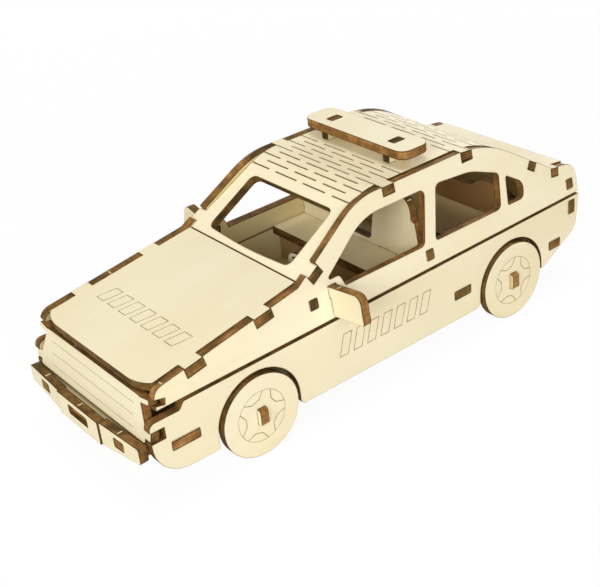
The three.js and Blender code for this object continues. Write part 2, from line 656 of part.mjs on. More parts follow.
const roofShell = cut(
  trimmed(sheet(shellOutline, chain(at(-WIDE, 0, 0), SIDE_ON), 2 * WIDE), ...shellTabs),
  sheet(screenOpening, chain(screenFrame, throughSheet), 4 * PLY),
  sheet(rearOpening, chain(rearFrame, throughSheet), 4 * PLY),
  solid(mergeGeometries(hingeCuts)),
  ...footSlots,
);

// Boot lid
const bootFrame = chain(at(0, bootY, bootZ), turnX(-BOOT_DEG));
const bootLid = trimmed(
  block(across, [0, BOOT_LENGTH], bonnetDepth, bootFrame),
  block(across, BOOT_TAB, bonnetDepth, bootFrame),
);
cutsUpper.push(block(across, grow(BOOT_TAB), openUpwards, bootFrame));

// Tail panel
const tailTop = bootTop(tailPanelY + PLY) - PLY / cos(BOOT_DEG) - 2 * FIT;
const tailLow = axleZ + TAIL_PANEL_RISE;
const tailPanel = crosswise(
  tailPanelY,
  mirrored([[WIDE, tailLow], [WIDE, tailTop]]),
  {
    lowerTabs: [TAIL_TAB_LOW.map((z) => seamAt(tailY) + z)],
    upperTabs: [TAIL_TAB_HIGH.map((z) => seamAt(tailY) + z)],
  },
);

// Grille panel, leaning back under the front of the bonnet
const grilleFrame = chain(at(0, grilleY, grilleTop), turnX(-GRILLE_DEG), HEAD_ON);
const grilleDepth = [-PLY, 0];
const grilleEdge = HALF_WIDTH - PLY - FIT;
const grilleTabEnd = HALF_WIDTH - GRILLE_TAB_SHORT;
const grilleLowTab = GRILLE_LOW_TAB.map((z) => (floorTop + z - grilleTop) / cos(GRILLE_DEG));
const lowTabX = [grilleEdge - PLY, HALF_WIDTH - GRILLE_LOW_SHORT];
const bothSides = ([low, high]) => [[low, high], [-high, -low]];
const tabRoot = grilleEdge - GRILLE_TAB_ROOT;
const topTabV = [-GRILLE_TOP_TAB / 2, GRILLE_TOP_TAB / 2];
const topTabFrames = [1, -1].map((side) => (
  chain(grilleFrame, at(side * tabRoot, -GRILLE_TAB_DROP, 0), turnZ(side * LEAN_DEG))
));
const topTabX = bothSides([-PLY, grilleTabEnd - tabRoot]);
const grille = unite(
  sheet(
    rounded(mirrored([
      [grilleEdge, -grilleHeight, 1],
      [grilleEdge, -GRILLE_SHOULDER, 1],
      [grilleEdge - GRILLE_INSET, 0, 0.5],
    ])),
    chain(grilleFrame, at(0, 0, -PLY)),
  ).intersect(inside),
  ...topTabFrames.map((frame, i) => block(topTabX[i], topTabV, grilleDepth, frame)),
  ...bothSides(lowTabX).map((x) => block(x, grilleLowTab, grilleDepth, grilleFrame)),
);

// Level notch in the nose of a side sheet, open to the front, for a leaning grille tab
function noseNotch([low, high]) {
  const topFront = new THREE.Vector3(0, high, 0).applyMatrix4(grilleFrame);
  const topBack = new THREE.Vector3(0, high, -PLY).applyMatrix4(grilleFrame);
  const lowBack = new THREE.Vector3(0, low, -PLY).applyMatrix4(grilleFrame);
  return block(across, [-REACH, topBack.y + GRILLE_SLACK], grow([lowBack.z, topFront.z]));
}

const topNotchX = bothSides([-FIT, WIDE]);
const topNotchDepth = [-PLY - GRILLE_SLACK, REACH];
cutsUpper.push(...topTabFrames.map((frame, i) => block(topNotchX[i], grow(topTabV), topNotchDepth, frame)));
cutsLower.push(noseNotch(grilleLowTab));

// Dashboard bulkhead with the steering column through it
const dashY = cowlY + DASH_BACK;
const dashTop = cowlZ - PLY - 2 * FIT;
const footZ = floorTop + FIT;
const steerY = cowlY + STEER_BACK;
const steerZ = cowlZ + (steerY - shellStartY) * tan(SCREEN_DEG) - STEER_DROP;
const steerFrame = chain(at(STEER_X, steerY, steerZ), turnX(COLUMN_DEG));
const columnX = [-PLY / 2, PLY / 2];
const columnZ = [-COLUMN_DEPTH / 2, COLUMN_DEPTH / 2];
const columnFront = -(steerY - dashY + PLY / 2) / cos(COLUMN_DEG);
const columnY = [columnFront, PLY / 2 + FIT];
const column = block(columnX, columnY, columnZ, steerFrame);
const columnRoom = block(grow(columnX), grow(columnY), grow(columnZ), steerFrame);
const dashboard = cut(
  crosswise(dashY, mirrored([[WIDE, footZ], [WIDE, dashTop]]), {
    upperTabs: [DASH_TAB.map((z) => leanZ + z)],
    pegs: [-PEG_AT, PEG_AT],
  }),
  columnRoom,
);

// Steering wheel: a rim with a cross bar, standing across the column
const rim = new THREE.CylinderGeometry(STEER_R, STEER_R, PLY, 40);
const rimOpening = new THREE.CylinderGeometry(STEER_R - STEER_RIM, STEER_R - STEER_RIM, 2 * PLY, 40);
const barBlock = block([-STEER_R + STEER_RIM / 2, STEER_R - STEER_RIM / 2], [-PLY / 2, PLY / 2],
  [-STEER_BAR / 2, STEER_BAR / 2], steerFrame);
const steeringWheel = cut(
  unite(cut(solid(rim.applyMatrix4(steerFrame)), solid(rimOpening.applyMatrix4(steerFrame))), barBlock),
  columnRoom,
);

// Front seats: one back sheet for both, a base sheet and its riser
const seatTop = floorTop + SEAT_HEIGHT;
const seatBackY = middlePillarY;
const seatSpan = [seatTop - PLY, seatTop];
const pegsAt = [-PEG_AT, PEG_AT];
const pegSpans = pegsAt.map((x) => [x - PEG / 2, x + PEG / 2]);
const seatBack = cut(
  crosswise(
    seatBackY,
    mirrored([
      [WIDE, footZ],
      [WIDE, floorTop + SEAT_SHOULDER],
      [HEADREST[1], floorTop + SEAT_SHOULDER, 1],
      [HEADREST[1], floorTop + SEAT_TOP, HEADREST_R],
      [HEADREST[0], floorTop + SEAT_TOP, HEADREST_R],
      [SEAT_GAP, floorTop + SEAT_GAP_RISE, 2],
    ]),
    { upperTabs: [SEAT_TAB.map((z) => leanZ + z)], pegs: pegsAt },
  ),
  ...pegSpans.map((x) => block(grow(x), [seatBackY - PLY, seatBackY + 2 * PLY], grow(seatSpan))),
);
const seatFrontY = seatBackY - SEAT_DEPTH;
const seatRiserY = seatFrontY + SEAT_RISER_BACK;

// Riser under a seat sheet, pegged into the floor
function riser(y, span) {
  return crosswise(y, mirrored([[WIDE, footZ], [WIDE, span[0] - FIT]]), { pegs: pegsAt });
}

// Seat sheet with two tabs through the back behind it
function seat(y0, y1, span) {
  const plate = block(across, [y0, y1 - FIT], span).intersect(inside);
  const tabs = pegSpans.map((x) => block(x, [y1 - PLY, y1 + PLY], span));
  return unite(plate, ...tabs);
}

const seatRiser = riser(seatRiserY, seatSpan);
const seatBase = seat(seatFrontY, seatBackY, seatSpan);

// Rear bench, its riser and its back with two humps
const benchTop = floorTop + BENCH_HEIGHT;
const benchSpan = [benchTop - PLY, benchTop];
const benchFrontY = rearAxleY - BENCH_FRONT;
const benchBackY = rearAxleY + BENCH_BACK;
const benchRiser = riser(benchFrontY + BENCH_RISER_BACK, benchSpan);
const bench = seat(benchFrontY, benchBackY, benchSpan);
const benchBack = cut(
  crosswise(
    benchBackY,
    mirrored([
      [WIDE, footZ],
      [WIDE, floorTop + HUMP_DIP],
      [HUMP_AT + HUMP_HALF, floorTop + HUMP_DIP, HUMP_R],
      [HUMP_AT + HUMP_HALF / 2, floorTop + HUMP, HUMP_R],
      [HUMP_AT - HUMP_HALF / 2, floorTop + HUMP, HUMP_R],
      [HUMP_AT - HUMP_HALF, floorTop + HUMP_DIP, HUMP_R],
    ]),
    { pegs: pegsAt },
  ),
  ...pegSpans.map((x) => block(grow(x), [benchBackY - PLY, benchBackY + 2 * PLY], grow(benchSpan))),
);

// Mirrors stand square to the leaning sides
const mirrorY = cowlY + MIRROR_BACK;
const mirrorTab = [MIRROR_HIGH - MIRROR_TAB, MIRROR_HIGH];
const mirrorOutline = (length) => rounded([
  [-PLY, mirrorTab[0]],
  [MIRROR_GAP, mirrorTab[0]],
  [MIRROR_GAP, MIRROR_LOW, 0.8],
  [length, MIRROR_LOW, 0.8],
  [length, MIRROR_HIGH, MIRROR_R],
  [-PLY, MIRROR_HIGH],
]);
const leftLean = chain(at(HALF_WIDTH, 0, leanZ), turnY(-LEAN_DEG));
const rightLean = chain(at(-HALF_WIDTH, 0, leanZ), turnY(LEAN_DEG));
const mirrorMiddle = MIRROR_HIGH - MIRROR_TAB / 2;
const tipped = (x, degrees) => chain(at(x, 0, mirrorMiddle), turnY(degrees), at(-x, 0, -mirrorMiddle));
const leftTip = chain(leftLean, tipped(-PLY / 2, -MIRROR_TIP[0]));
const rightTip = chain(rightLean, tipped(PLY / 2, MIRROR_TIP[1]));
const leftMirrorFrame = chain(leftTip, at(0, mirrorY + PLY / 2, 0), HEAD_ON);
const rightMirrorFrame = chain(rightTip, at(0, mirrorY - PLY / 2, 0), HEAD_ON_RIGHT);
const mirrorLeft = sheet(mirrorOutline(MIRROR_LENGTH[0]), leftMirrorFrame);
const mirrorRight = sheet(mirrorOutline(MIRROR_LENGTH[1]), rightMirrorFrame);
const mirrorDepth = [mirrorY - PLY / 2, mirrorY + PLY / 2];
const mirrorSlots = [leftLean, rightLean].map((frame) => (
  block([-2 * PLY, 2 * PLY], grow(mirrorDepth), grow(mirrorTab), frame)
));

// Upper sides: one outline with three windows, leaning inwards
const upperLow = (y, gap) => [y, upAlong(seamAt(y) + gap)];
const onSkyline = (y, z, r) => [y, upAlong(z), r];
const deckY = shellEndY + REAR_EDGE_BACK + (shellEndZ - bootZ) / tan(REAR_DEG);
const pillarY = cowlY - PILLAR_FOOT;
const upperOutline = rounded([
  upperLow(upperNoseY, SEAM_GAP_FRONT),
  onSkyline(upperNoseY, bonnetTop(upperNoseY), NOSE_TOP_R),
  onSkyline(pillarY, bonnetTop(pillarY)),
  onSkyline(frontBendY - PILLAR_LEAD, roofZ, PILLAR_BEND_R),
  onSkyline(rearBendY + REAR_EDGE_BACK, roofZ, REAR_BEND_R),
  onSkyline(deckY, bootTop(deckY), DECK_R),
  onSkyline(tailY, bootTop(tailY), TAIL_TOP_R),
  upperLow(tailY, SEAM_GAP_REAR),
]);

const rearSlope = (y) => upAlong(shellEndZ + (shellEndY - y) * tan(REAR_DEG));
const windowHigh = upAlong(roofZ) - ROOF_RAIL;
const pillarRun = (windowHigh - WINDOW_SILL) * MIDDLE_PILLAR_LEAN;
const bumpHigh = MIRROR_HIGH + MIRROR_CAP;
const bumpEndY = mirrorY + PLY / 2 + MIRROR_WALL;
const frontWindow = rounded([
  [cowlY + FRONT_WINDOW_START, bumpHigh, 0.6],
  [frontBendY - FRONT_WINDOW_CROWN, windowHigh, FRONT_WINDOW_R],
  [middlePillarY + pillarRun, windowHigh, WINDOW_R],
  [middlePillarY, WINDOW_SILL, WINDOW_R],
  [bumpEndY + BUMP_RUN, WINDOW_SILL, 0.4],
  [bumpEndY, bumpHigh, BUMP_R],
]);
const rearWindowY = rearAxleY - REAR_WINDOW_END;
const rearWindow = rounded([
  [middlePillarY + MIDDLE_PILLAR, WINDOW_SILL, WINDOW_R / 2],
  [middlePillarY + MIDDLE_PILLAR + pillarRun, windowHigh, WINDOW_R],
  [rearBendY - REAR_WINDOW_BREAK, windowHigh - REAR_WINDOW_FALL, FRONT_WINDOW_R],
  [rearWindowY + REAR_WINDOW_LEAN, rearSlope(rearWindowY + REAR_WINDOW_LEAN) - REAR_RAIL, WINDOW_R],
  [rearWindowY, WINDOW_SILL, WINDOW_R],
]);
const quarterY = rearWindowY + REAR_PILLAR;
const quarterHigh = (y) => rearSlope(y) - REAR_RAIL;
const quarterWindow = rounded([
  [quarterY, WINDOW_SILL, 0.6],
  [quarterY + 0.6, quarterHigh(quarterY + 0.6), 0.6],
  [quarterY + QUARTER_LENGTH + 0.8, quarterHigh(quarterY + QUARTER_LENGTH + 0.8), 2 * WINDOW_R],
  [quarterY + QUARTER_LENGTH, WINDOW_SILL, WINDOW_R],
]);
const windows = [frontWindow, rearWindow, quarterWindow];

function upperSide(frame, mirrorSlot) {
  const openings = windows.map((window) => sheet(window, chain(frame, at(-PLY, 0, 0), SIDE_ON), 3 * PLY));
  return cut(sheet(upperOutline, chain(frame, SIDE_ON)), ...openings, ...cutsUpper, mirrorSlot);
}

const upperLeft = upperSide(chain(leftLean, at(-PLY, 0, 0)), mirrorSlots[0]);
const upperRight = upperSide(rightLean, mirrorSlots[1]);

// Lower sides with their wheel arches
const lampRearY = noseY + LAMP_LENGTH;
const lampZ = seamAt(lampRearY) - LAMP_DEPTH;
const arch = (y, before, after) => [
  [y + archR, before[0], before[1]],
  [y + archR, archTop, archR],
  [y - archR, archTop, archR],
  [y - archR, after[0], after[1]],
];
const tipZ = axleZ - TAIL_TIP_DROP;
const lowerOutline = rounded([
  [noseY, lampZ, LAMP_R],
  [lampRearY, lampZ, 0.8],
  [lampRearY + LAMP_RAKE, seamAt(lampRearY + LAMP_RAKE), 0.8],
  [tailY, seamAt(tailY), 0.5],
  [tailY - TAIL_RAKE, axleZ + TAIL_CUT_RISE, TAIL_CUT_R],
  [rearAxleY + archR + TAIL_TIP, tipZ, 0.6],
  ...arch(rearAxleY, [tipZ, 0], [sillZ, SILL_R]),
  ...arch(frontAxleY, [sillZ, SILL_R], [sillZ, 0.6]),
  [noseY, sillZ, NOSE_R],
]);
const lowerLeft = cut(sheet(lowerOutline, chain(at(HALF_WIDTH - PLY, 0, 0), SIDE_ON)), ...cutsLower);
const lowerRight = cut(sheet(lowerOutline, chain(at(-HALF_WIDTH, 0, 0), SIDE_ON)), ...cutsLower);

// Floor with its slots
const floor = cut(
  unite(
    cut(trimmed(floorSheet, ...floorTabs.map((y) => block(across, y, floorSpan))), ...bumperRoom),
    ...bumperTabs.map((x) => block(x, tabReach, floorSpan)),
  ),
  ...cutsFloor,
);

// Axle strips and wheels, drawn about their own axle line
const wheelX = HALF_WIDTH + WHEEL_PROUD - PLY / 2;
const axleEnd = HALF_WIDTH + WHEEL_PROUD + AXLE_PROUD;
const axleY = [-PLY / 2, PLY / 2];
const axleHeight = [-AXLE_DEPTH / 2, AXLE_DEPTH / 2];
const axleOutline = rounded(mirrored(axleHeight.map((z) => [axleEnd, z, AXLE_END_R])));

function wheelset(name, y) {
  const parent = group(at(0, y, axleZ));
  const strip = sheet(axleOutline, chain(parent.matrixWorld, at(0, PLY / 2, 0), HEAD_ON));
  const hubFrame = chain(parent.matrixWorld, at(-WIDE, 0, 0), SIDE_ON);
  const hub = sheet(slotOutline(axleY, axleHeight), hubFrame, 2 * WIDE);
  add(parent, `axle_${name}`, strip, BIRCH_INSIDE);
  [['left', 1], ['right', -1]].forEach(([side, sign]) => {
    const place = group(at(sign * wheelX, 0, 0), parent);
    const disc = new THREE.CylinderGeometry(WHEEL_R, WHEEL_R, PLY, WHEEL_FACETS);
    disc.applyMatrix4(chain(place.matrixWorld, turnZ(90)));
    add(place, `wheel_${name}_${side}`, cut(solid(disc), hub), BIRCH_WHEEL);
  });
}

// Assembly
const leftGroup = group(leftLean);
const rightGroup = group(rightLean);
const body = group(LEVEL);
add(body, 'side_lower_left', lowerLeft);
add(body, 'side_lower_right', lowerRight);
add(leftGroup, 'side_upper_left', upperLeft);
add(rightGroup, 'side_upper_right', upperRight);
add(group(leftTip), 'mirror_left', mirrorLeft);
add(group(rightTip), 'mirror_right', mirrorRight);
add(group(bonnetFrame), 'bonnet', bonnet);
add(body, 'roof_shell', roofShell);
add(group(bootFrame), 'boot_lid', bootLid);
add(body, 'tail_panel', tailPanel);
add(group(grilleFrame), 'grille_panel', grille);
add(body, 'bumper_middle', cut(bumperMiddle, ...bumperSlots));
add(group(leftSweep), 'bumper_left', cut(bumperLeft, ...bumperSlots));
add(group(rightSweep), 'bumper_right', cut(bumperRight, ...bumperSlots));
add(body, 'floor_sheet', floor, BIRCH_INSIDE);
bearers.forEach(([name, made]) => add(body, name, made, BIRCH_INSIDE));
add(body, 'dashboard', dashboard, BIRCH_INSIDE);
const steering = group(steerFrame);
add(steering, 'steering_column', column, BIRCH_INSIDE);
add(steering, 'steering_wheel', steeringWheel);
add(body, 'front_seat_back', seatBack);
add(body, 'front_seat_base', seatBase);
add(body, 'front_seat_riser', seatRiser, BIRCH_INSIDE);
add(body, 'rear_bench', bench);
add(body, 'rear_seat_back', benchBack);
add(body, 'rear_bench_riser', benchRiser, BIRCH_INSIDE);
add(body, 'light_bar', lightBar);
add(body, 'light_bar_foot_left', feet[0], BIRCH_INSIDE);
add(body, 'light_bar_foot_right', feet[1], BIRCH_INSIDE);
wheelset('front', frontAxleY);
wheelset('rear', rearAxleY);

// The car stands on its wheels, centred over its own footprint
const bounds = new THREE.Box3().setFromObject(car);
const middle = bounds.getCenter(new THREE.Vector3());
car.position.set(-middle.x, -middle.y, -bounds.min.z);

export default car;
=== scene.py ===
# %% [markdown]
# # A puzzle car of laser-cut plywood
# The real car is a flat-pack kit. Every piece is cut by a laser from a 3 mm sheet of birch plywood,
# pushed out of the sheet and locked to its neighbours with tabs and slots. The solids are loaded in
# their places, so this lesson only has to turn them into wood: pale sanded faces, burnt brown edges
# and thin scored lines.

# %% Load the car and keep its size
import json
import math

import bmesh
import bpy
import numpy as np
from mathutils import Matrix, Vector
from mathutils.bvhtree import BVHTree


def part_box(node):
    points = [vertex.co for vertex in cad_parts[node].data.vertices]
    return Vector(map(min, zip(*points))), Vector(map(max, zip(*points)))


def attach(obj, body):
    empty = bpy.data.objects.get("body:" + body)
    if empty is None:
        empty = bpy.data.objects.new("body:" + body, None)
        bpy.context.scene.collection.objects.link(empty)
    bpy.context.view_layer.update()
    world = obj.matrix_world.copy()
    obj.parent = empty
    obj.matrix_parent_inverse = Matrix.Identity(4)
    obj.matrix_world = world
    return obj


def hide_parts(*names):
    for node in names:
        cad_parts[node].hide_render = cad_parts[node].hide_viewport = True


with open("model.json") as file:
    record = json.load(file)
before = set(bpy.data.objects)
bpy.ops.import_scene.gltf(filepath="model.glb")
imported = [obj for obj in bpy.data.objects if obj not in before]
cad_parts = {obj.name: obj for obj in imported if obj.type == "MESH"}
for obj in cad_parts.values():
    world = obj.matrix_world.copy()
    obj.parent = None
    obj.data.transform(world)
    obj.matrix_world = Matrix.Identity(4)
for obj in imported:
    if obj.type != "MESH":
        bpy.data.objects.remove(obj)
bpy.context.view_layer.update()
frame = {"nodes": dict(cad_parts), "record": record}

MM = 0.001


def in_mm(lengths, digits):
    return [round(x / MM, digits) for x in lengths]


# %% [markdown]
# ## Where the photographer stood
# The car is seen from in front, over its left wing, through a longish lens, and the picture is
# tipped by a few degrees. A camera could be nudged into place by eye. Here it is set by three
# angles, a distance and the point it looks at, because each of these can be read and changed by
# itself.

# %% Camera
PICTURE_WIDTH_PX = 600
FOCAL_LENGTH_PX = 1197.6
SENSOR_MM = 36.0
AZIMUTH = math.radians(53.98)
ELEVATION = math.radians(29.58)
ROLL = math.radians(6.085)
AIM_MM = Vector((1.51, -8.47, 25.04))
DISTANCE_MM = 398.0
NEAREST_SEEN_MM = 10

towards_camera = Vector((
    math.sin(AZIMUTH) * math.cos(ELEVATION),
    -math.cos(AZIMUTH) * math.cos(ELEVATION),
    math.sin(ELEVATION),
))
camera = bpy.data.objects.new("camera", bpy.data.cameras.new("camera"))
bpy.context.scene.collection.objects.link(camera)
camera.data.sensor_width = SENSOR_MM
camera.data.lens = SENSOR_MM * FOCAL_LENGTH_PX / PICTURE_WIDTH_PX
camera.data.clip_start = NEAREST_SEEN_MM * MM
camera.location = (AIM_MM + towards_camera * DISTANCE_MM) * MM
level_view = (-towards_camera).to_track_quat("-Z", "Y").to_matrix()
camera.rotation_euler = (level_view @ Matrix.Rotation(-ROLL, 3, "Z")).to_euler()
bpy.context.scene.camera = camera
print("camera at", in_mm(camera.location, 1), "mm, lens", round(camera.data.lens, 2), "mm")

# %% [markdown]
# ## Colours and nodes
# Colours are picked as they look on a screen, in sRGB hex. Shaders add and multiply light, so they
# need linear values, and one function makes the change. A second one adds a shader node, sets it and
# links it, so that each material below reads as a list of steps. A third starts an empty material.

# %% Helpers for every material
SRGB_TOE = 0.04045


def linear(hex_colour):
    """The linear RGBA of a colour written as six sRGB hex digits."""
    shares = [int(hex_colour[i:i + 2], 16) / 255 for i in (0, 2, 4)]
    return [s / 12.92 if s <= SRGB_TOE else ((s + 0.055) / 1.055) ** 2.4 for s in shares] + [1.0]


def add_node(tree, kind, inputs=None, stops=None, **settings):
    """Adds a node. Inputs are values or sockets to link, stops a colour ramp's (place, hex) pairs."""
    made = tree.nodes.new(kind)
    for name, value in settings.items():
        setattr(made, name, value)
    for name, value in (inputs or {}).items():
        if isinstance(value, bpy.types.NodeSocket):
            tree.links.new(value, made.inputs[name])
        else:
            made.inputs[name].default_value = value
    for i, (place, colour) in enumerate(stops or []):
        ramp = made.color_ramp.elements
        stop = ramp[i] if i < 2 else ramp.new(place)
        stop.position = place
        stop.color = linear(colour)
    return made


def empty_material(name):
    """A new material and its node tree, with no node in it yet."""
    material = bpy.data.materials.new(name)
    material.use_nodes = True
    material.node_tree.nodes.clear()
    return material, material.node_tree


print("pale veneer is", [round(x, 3) for x in linear("F7EFD3")[:3]], "in linear light")

# %% [markdown]
# ## A white world
# The car stands in front of plain white that runs out of the picture. A world as bright as that
# would wash out the wood, so it is white only where a ray from the camera or a mirroring surface
# meets it, and a weak dome of light for everything else.

# %% World
DOME_STRENGTH = 0.13

world = bpy.data.worlds.new("white_studio")
bpy.context.scene.world = world
world.use_nodes = True
tree = world.node_tree
tree.nodes.clear()
rays = add_node(tree, "ShaderNodeLightPath")
seen = add_node(tree, "ShaderNodeMath", {
    0: rays.outputs["Is Camera Ray"], 1: rays.outputs["Is Glossy Ray"],
}, operation="MAXIMUM")
seen = add_node(tree, "ShaderNodeMath", {
    0: seen.outputs[0], 1: rays.outputs["Is Transmission Ray"],
}, operation="MAXIMUM")
strength = add_node(tree, "ShaderNodeMapRange", {
    "Value": seen.outputs[0], "To Min": DOME_STRENGTH, "To Max": 1.0,
})
sky = add_node(tree, "ShaderNodeBackground", {
    "Color": linear("FFFFFF"), "Strength": strength.outputs[0],
})
add_node(tree, "ShaderNodeOutputWorld", {"Surface": sky.outputs[0]})
print("dome strength", DOME_STRENGTH)

# %% [markdown]
# ## White paper
# A curved paper sweep could be modelled, but a flat floor and the white world give the same plain
# background. The floor mixes its own shaded colour with plain white for camera rays only, which
# leaves a faint soft shadow under the car and puts no more light on the wood. Away from the car the
# white takes over, so that no horizon shows.

# %% Floor
FLOOR_HALF_MM = 3000
FLOOR_WHITE_SHARE = 0.94
SHADOW_WITHIN_MM = 100
ALL_WHITE_FROM_MM = 450

half = FLOOR_HALF_MM * MM
floor_corners = [(-half, -half, 0), (half, -half, 0), (half, half, 0), (-half, half, 0)]
floor_mesh = bpy.data.meshes.new("paper_floor")
floor_mesh.from_pydata(floor_corners, [], [(0, 1, 2, 3)])
floor = bpy.data.objects.new("paper_floor", floor_mesh)
bpy.context.scene.collection.objects.link(floor)

paper, tree = empty_material("matt_white_paper")
rays = add_node(tree, "ShaderNodeLightPath")
spot = add_node(tree, "ShaderNodeNewGeometry")
away = add_node(tree, "ShaderNodeVectorMath", {0: spot.outputs["Position"]}, operation="LENGTH")
whiter = add_node(tree, "ShaderNodeMapRange", {
    "Value": away.outputs["Value"],
    "From Min": SHADOW_WITHIN_MM * MM, "From Max": ALL_WHITE_FROM_MM * MM,
    "To Min": FLOOR_WHITE_SHARE, "To Max": 1.0,
})
share = add_node(tree, "ShaderNodeMath", {
    0: rays.outputs["Is Camera Ray"], 1: whiter.outputs[0],
}, operation="MULTIPLY")
shaded = add_node(tree, "ShaderNodeBsdfDiffuse", {"Color": linear("F2F1EF"), "Roughness": 1.0})
white = add_node(tree, "ShaderNodeEmission", {"Color": linear("FFFFFF"), "Strength": 1.0})
both = add_node(tree, "ShaderNodeMixShader", {
    0: share.outputs[0], 1: shaded.outputs[0], 2: white.outputs[0],
})
add_node(tree, "ShaderNodeOutputMaterial", {"Surface": both.outputs[0]})
floor_mesh.materials.append(paper)
print("floor", 2 * FLOOR_HALF_MM, "mm square")

# %% [markdown]
# ## Softboxes
# The photograph has soft light from all round and hardly a shadow. Four large square lamps do that:
# one in front, one above, one on the left and a weaker one behind, so that the far side keeps its
# shape too.

# %% Lamps
SOFTBOXES = {
    "front_softbox": {"at_mm": (500, -890, 470), "side_mm": 520, "watts": 6.8},
    "top_softbox": {"at_mm": (20, -20, 1150), "side_mm": 560, "watts": 5.6},
    "side_softbox": {"at_mm": (970, -400, 400), "side_mm": 480, "watts": 4.7},
    "rear_softbox": {"at_mm": (-640, 900, 300), "side_mm": 500, "watts": 4.2},
}
for name, box in SOFTBOXES.items():
    lamp = bpy.data.lights.new(name, "AREA")
    lamp.size = box["side_mm"] * MM
    lamp.energy = box["watts"]
    holder = bpy.data.objects.new(name, lamp)
    holder.location = Vector(box["at_mm"]) * MM
    holder.rotation_euler = (AIM_MM * MM - holder.location).to_track_quat("-Z", "Y").to_euler()
    bpy.context.scene.collection.objects.link(holder)
bpy.context.scene.view_settings.view_transform = "Standard"
print("softboxes:", sorted(SOFTBOXES))

# %% [markdown]
# ## Birch plywood, sanded face
# The faces are rotary-cut birch veneer, sanded and left raw. That gives the eye an even pale cream
# with hardly any figure: long faint fibres a few tenths of a millimetre apart, a slow change of tone
# over some centimetres, and a dull sheen. Close to a cut the smoke of the laser has tinted it tan. The
# back of the sheet, which faces into the car, is painted darker and browner: partly smoke from the bed
# of the cutter, mostly painted shade of the car's inside. The pattern could come from a picture of
# wood, but noise stretched along the grain follows the sheet at any size. Each sheet carries its own
# flat coordinates in millimetres, along the grain, across it and through the thickness, in the
# attribute sheet_mm, and a second attribute says how dark its back is painted.

# %% Veneer material
FIBRE_SPACING_MM = 0.55   # real fibres are finer than a pixel here, so they are drawn this coarse
FIBRE_LENGTH_MM = 26.0
FIBRE_PER_MM_DEEP = 0.3
FIBRE_RELIEF_MM = 0.03
TONE_PATCH_ALONG_MM = 68.0
TONE_PATCH_ACROSS_MM = 34.0
TONE_PER_MM_DEEP = 0.02
SMOKE_REACH_MM = 0.55
SMOKE_TINT = 0.62
SHEET_MM = 3.0
WOOD_IOR = 1.53

veneer, tree = empty_material("birch_ply_sanded_veneer")
sheet = add_node(tree, "ShaderNodeAttribute", attribute_name="sheet_mm")
back_smoke_and_shade = add_node(tree, "ShaderNodeAttribute", attribute_name="back_smoke_and_shade")
along_fibres = add_node(tree, "ShaderNodeVectorMath", {
    0: sheet.outputs["Vector"],
    1: (1 / FIBRE_LENGTH_MM, 1 / FIBRE_SPACING_MM, FIBRE_PER_MM_DEEP),
}, operation="MULTIPLY")
fibres = add_node(tree, "ShaderNodeTexNoise", {
    "Vector": along_fibres.outputs[0], "Scale": 1.0, "Detail": 3.0, "Roughness": 0.6,
})
in_patches = add_node(tree, "ShaderNodeVectorMath", {
    0: sheet.outputs["Vector"],
    1: (1 / TONE_PATCH_ALONG_MM, 1 / TONE_PATCH_ACROSS_MM, TONE_PER_MM_DEEP),
}, operation="MULTIPLY")
patches = add_node(tree, "ShaderNodeTexNoise", {
    "Vector": in_patches.outputs[0], "Scale": 1.0, "Detail": 2.0, "Roughness": 0.5,
})
fibre_tone = add_node(tree, "ShaderNodeValToRGB", {"Fac": fibres.outputs["Fac"]},
                      stops=[(0.30, "EADDB6"), (0.52, "EFE3BF"), (0.75, "F2E8C7")])
patch_tone = add_node(tree, "ShaderNodeValToRGB", {"Fac": patches.outputs["Fac"]},
                      stops=[(0.32, "ECDDB3"), (0.70, "F5ECD1")])
raw_wood = add_node(tree, "ShaderNodeMix", {
    "Factor": 0.5, "A": fibre_tone.outputs["Color"], "B": patch_tone.outputs["Color"],
}, data_type="RGBA")
axes = add_node(tree, "ShaderNodeSeparateXYZ", {0: sheet.outputs["Vector"]})
# Painted shade: the back face, turned into the car, is tinted by the sheet's back level, partly laser
# smoke, mostly the shade that falls inside the car.
on_back = add_node(tree, "ShaderNodeMapRange", {
    "Value": axes.outputs["Z"], "From Min": 0.0, "From Max": SHEET_MM,
    "To Min": back_smoke_and_shade.outputs["Fac"], "To Max": 0.0,
})
# Olive up to 0.6, turning red-brown towards 1 as the painted shade and brown bounce deep in the cabin.
smoke_and_shade_tone = add_node(tree, "ShaderNodeValToRGB", {"Fac": back_smoke_and_shade.outputs["Fac"]},
                 stops=[(0.60, "B8A25F"), (1.0, "9A7448")])
smoked_and_shaded = add_node(tree, "ShaderNodeMix", {
    "Factor": on_back.outputs[0], "A": raw_wood.outputs["Result"], "B": smoke_and_shade_tone.outputs["Color"],
}, data_type="RGBA")
near_cut = add_node(tree, "ShaderNodeAmbientOcclusion", {"Distance": SMOKE_REACH_MM * MM},
                    inside=True, only_local=True, samples=8)
smoke = add_node(tree, "ShaderNodeMapRange", {
    "Value": near_cut.outputs["AO"], "From Min": 0.45, "From Max": 0.98,
    "To Min": SMOKE_TINT, "To Max": 0.0,
}, interpolation_type="SMOOTHSTEP")
tinted = add_node(tree, "ShaderNodeMix", {
    "Factor": smoke.outputs[0], "A": smoked_and_shaded.outputs["Result"], "B": linear("B08A54"),
}, data_type="RGBA")
sheen = add_node(tree, "ShaderNodeMapRange", {
    "Value": fibres.outputs["Fac"], "To Min": 0.50, "To Max": 0.72,
})
relief = add_node(tree, "ShaderNodeBump", {
    "Height": fibres.outputs["Fac"], "Strength": 0.25, "Distance": FIBRE_RELIEF_MM * MM,
})
shader = add_node(tree, "ShaderNodeBsdfPrincipled", {
    "Base Color": tinted.outputs["Result"], "Roughness": sheen.outputs[0], "IOR": WOOD_IOR,
    "Specular IOR Level": 0.35, "Normal": relief.outputs[0],
})
add_node(tree, "ShaderNodeOutputMaterial", {"Surface": shader.outputs[0]})
print(veneer.name, "has", len(tree.nodes), "nodes")
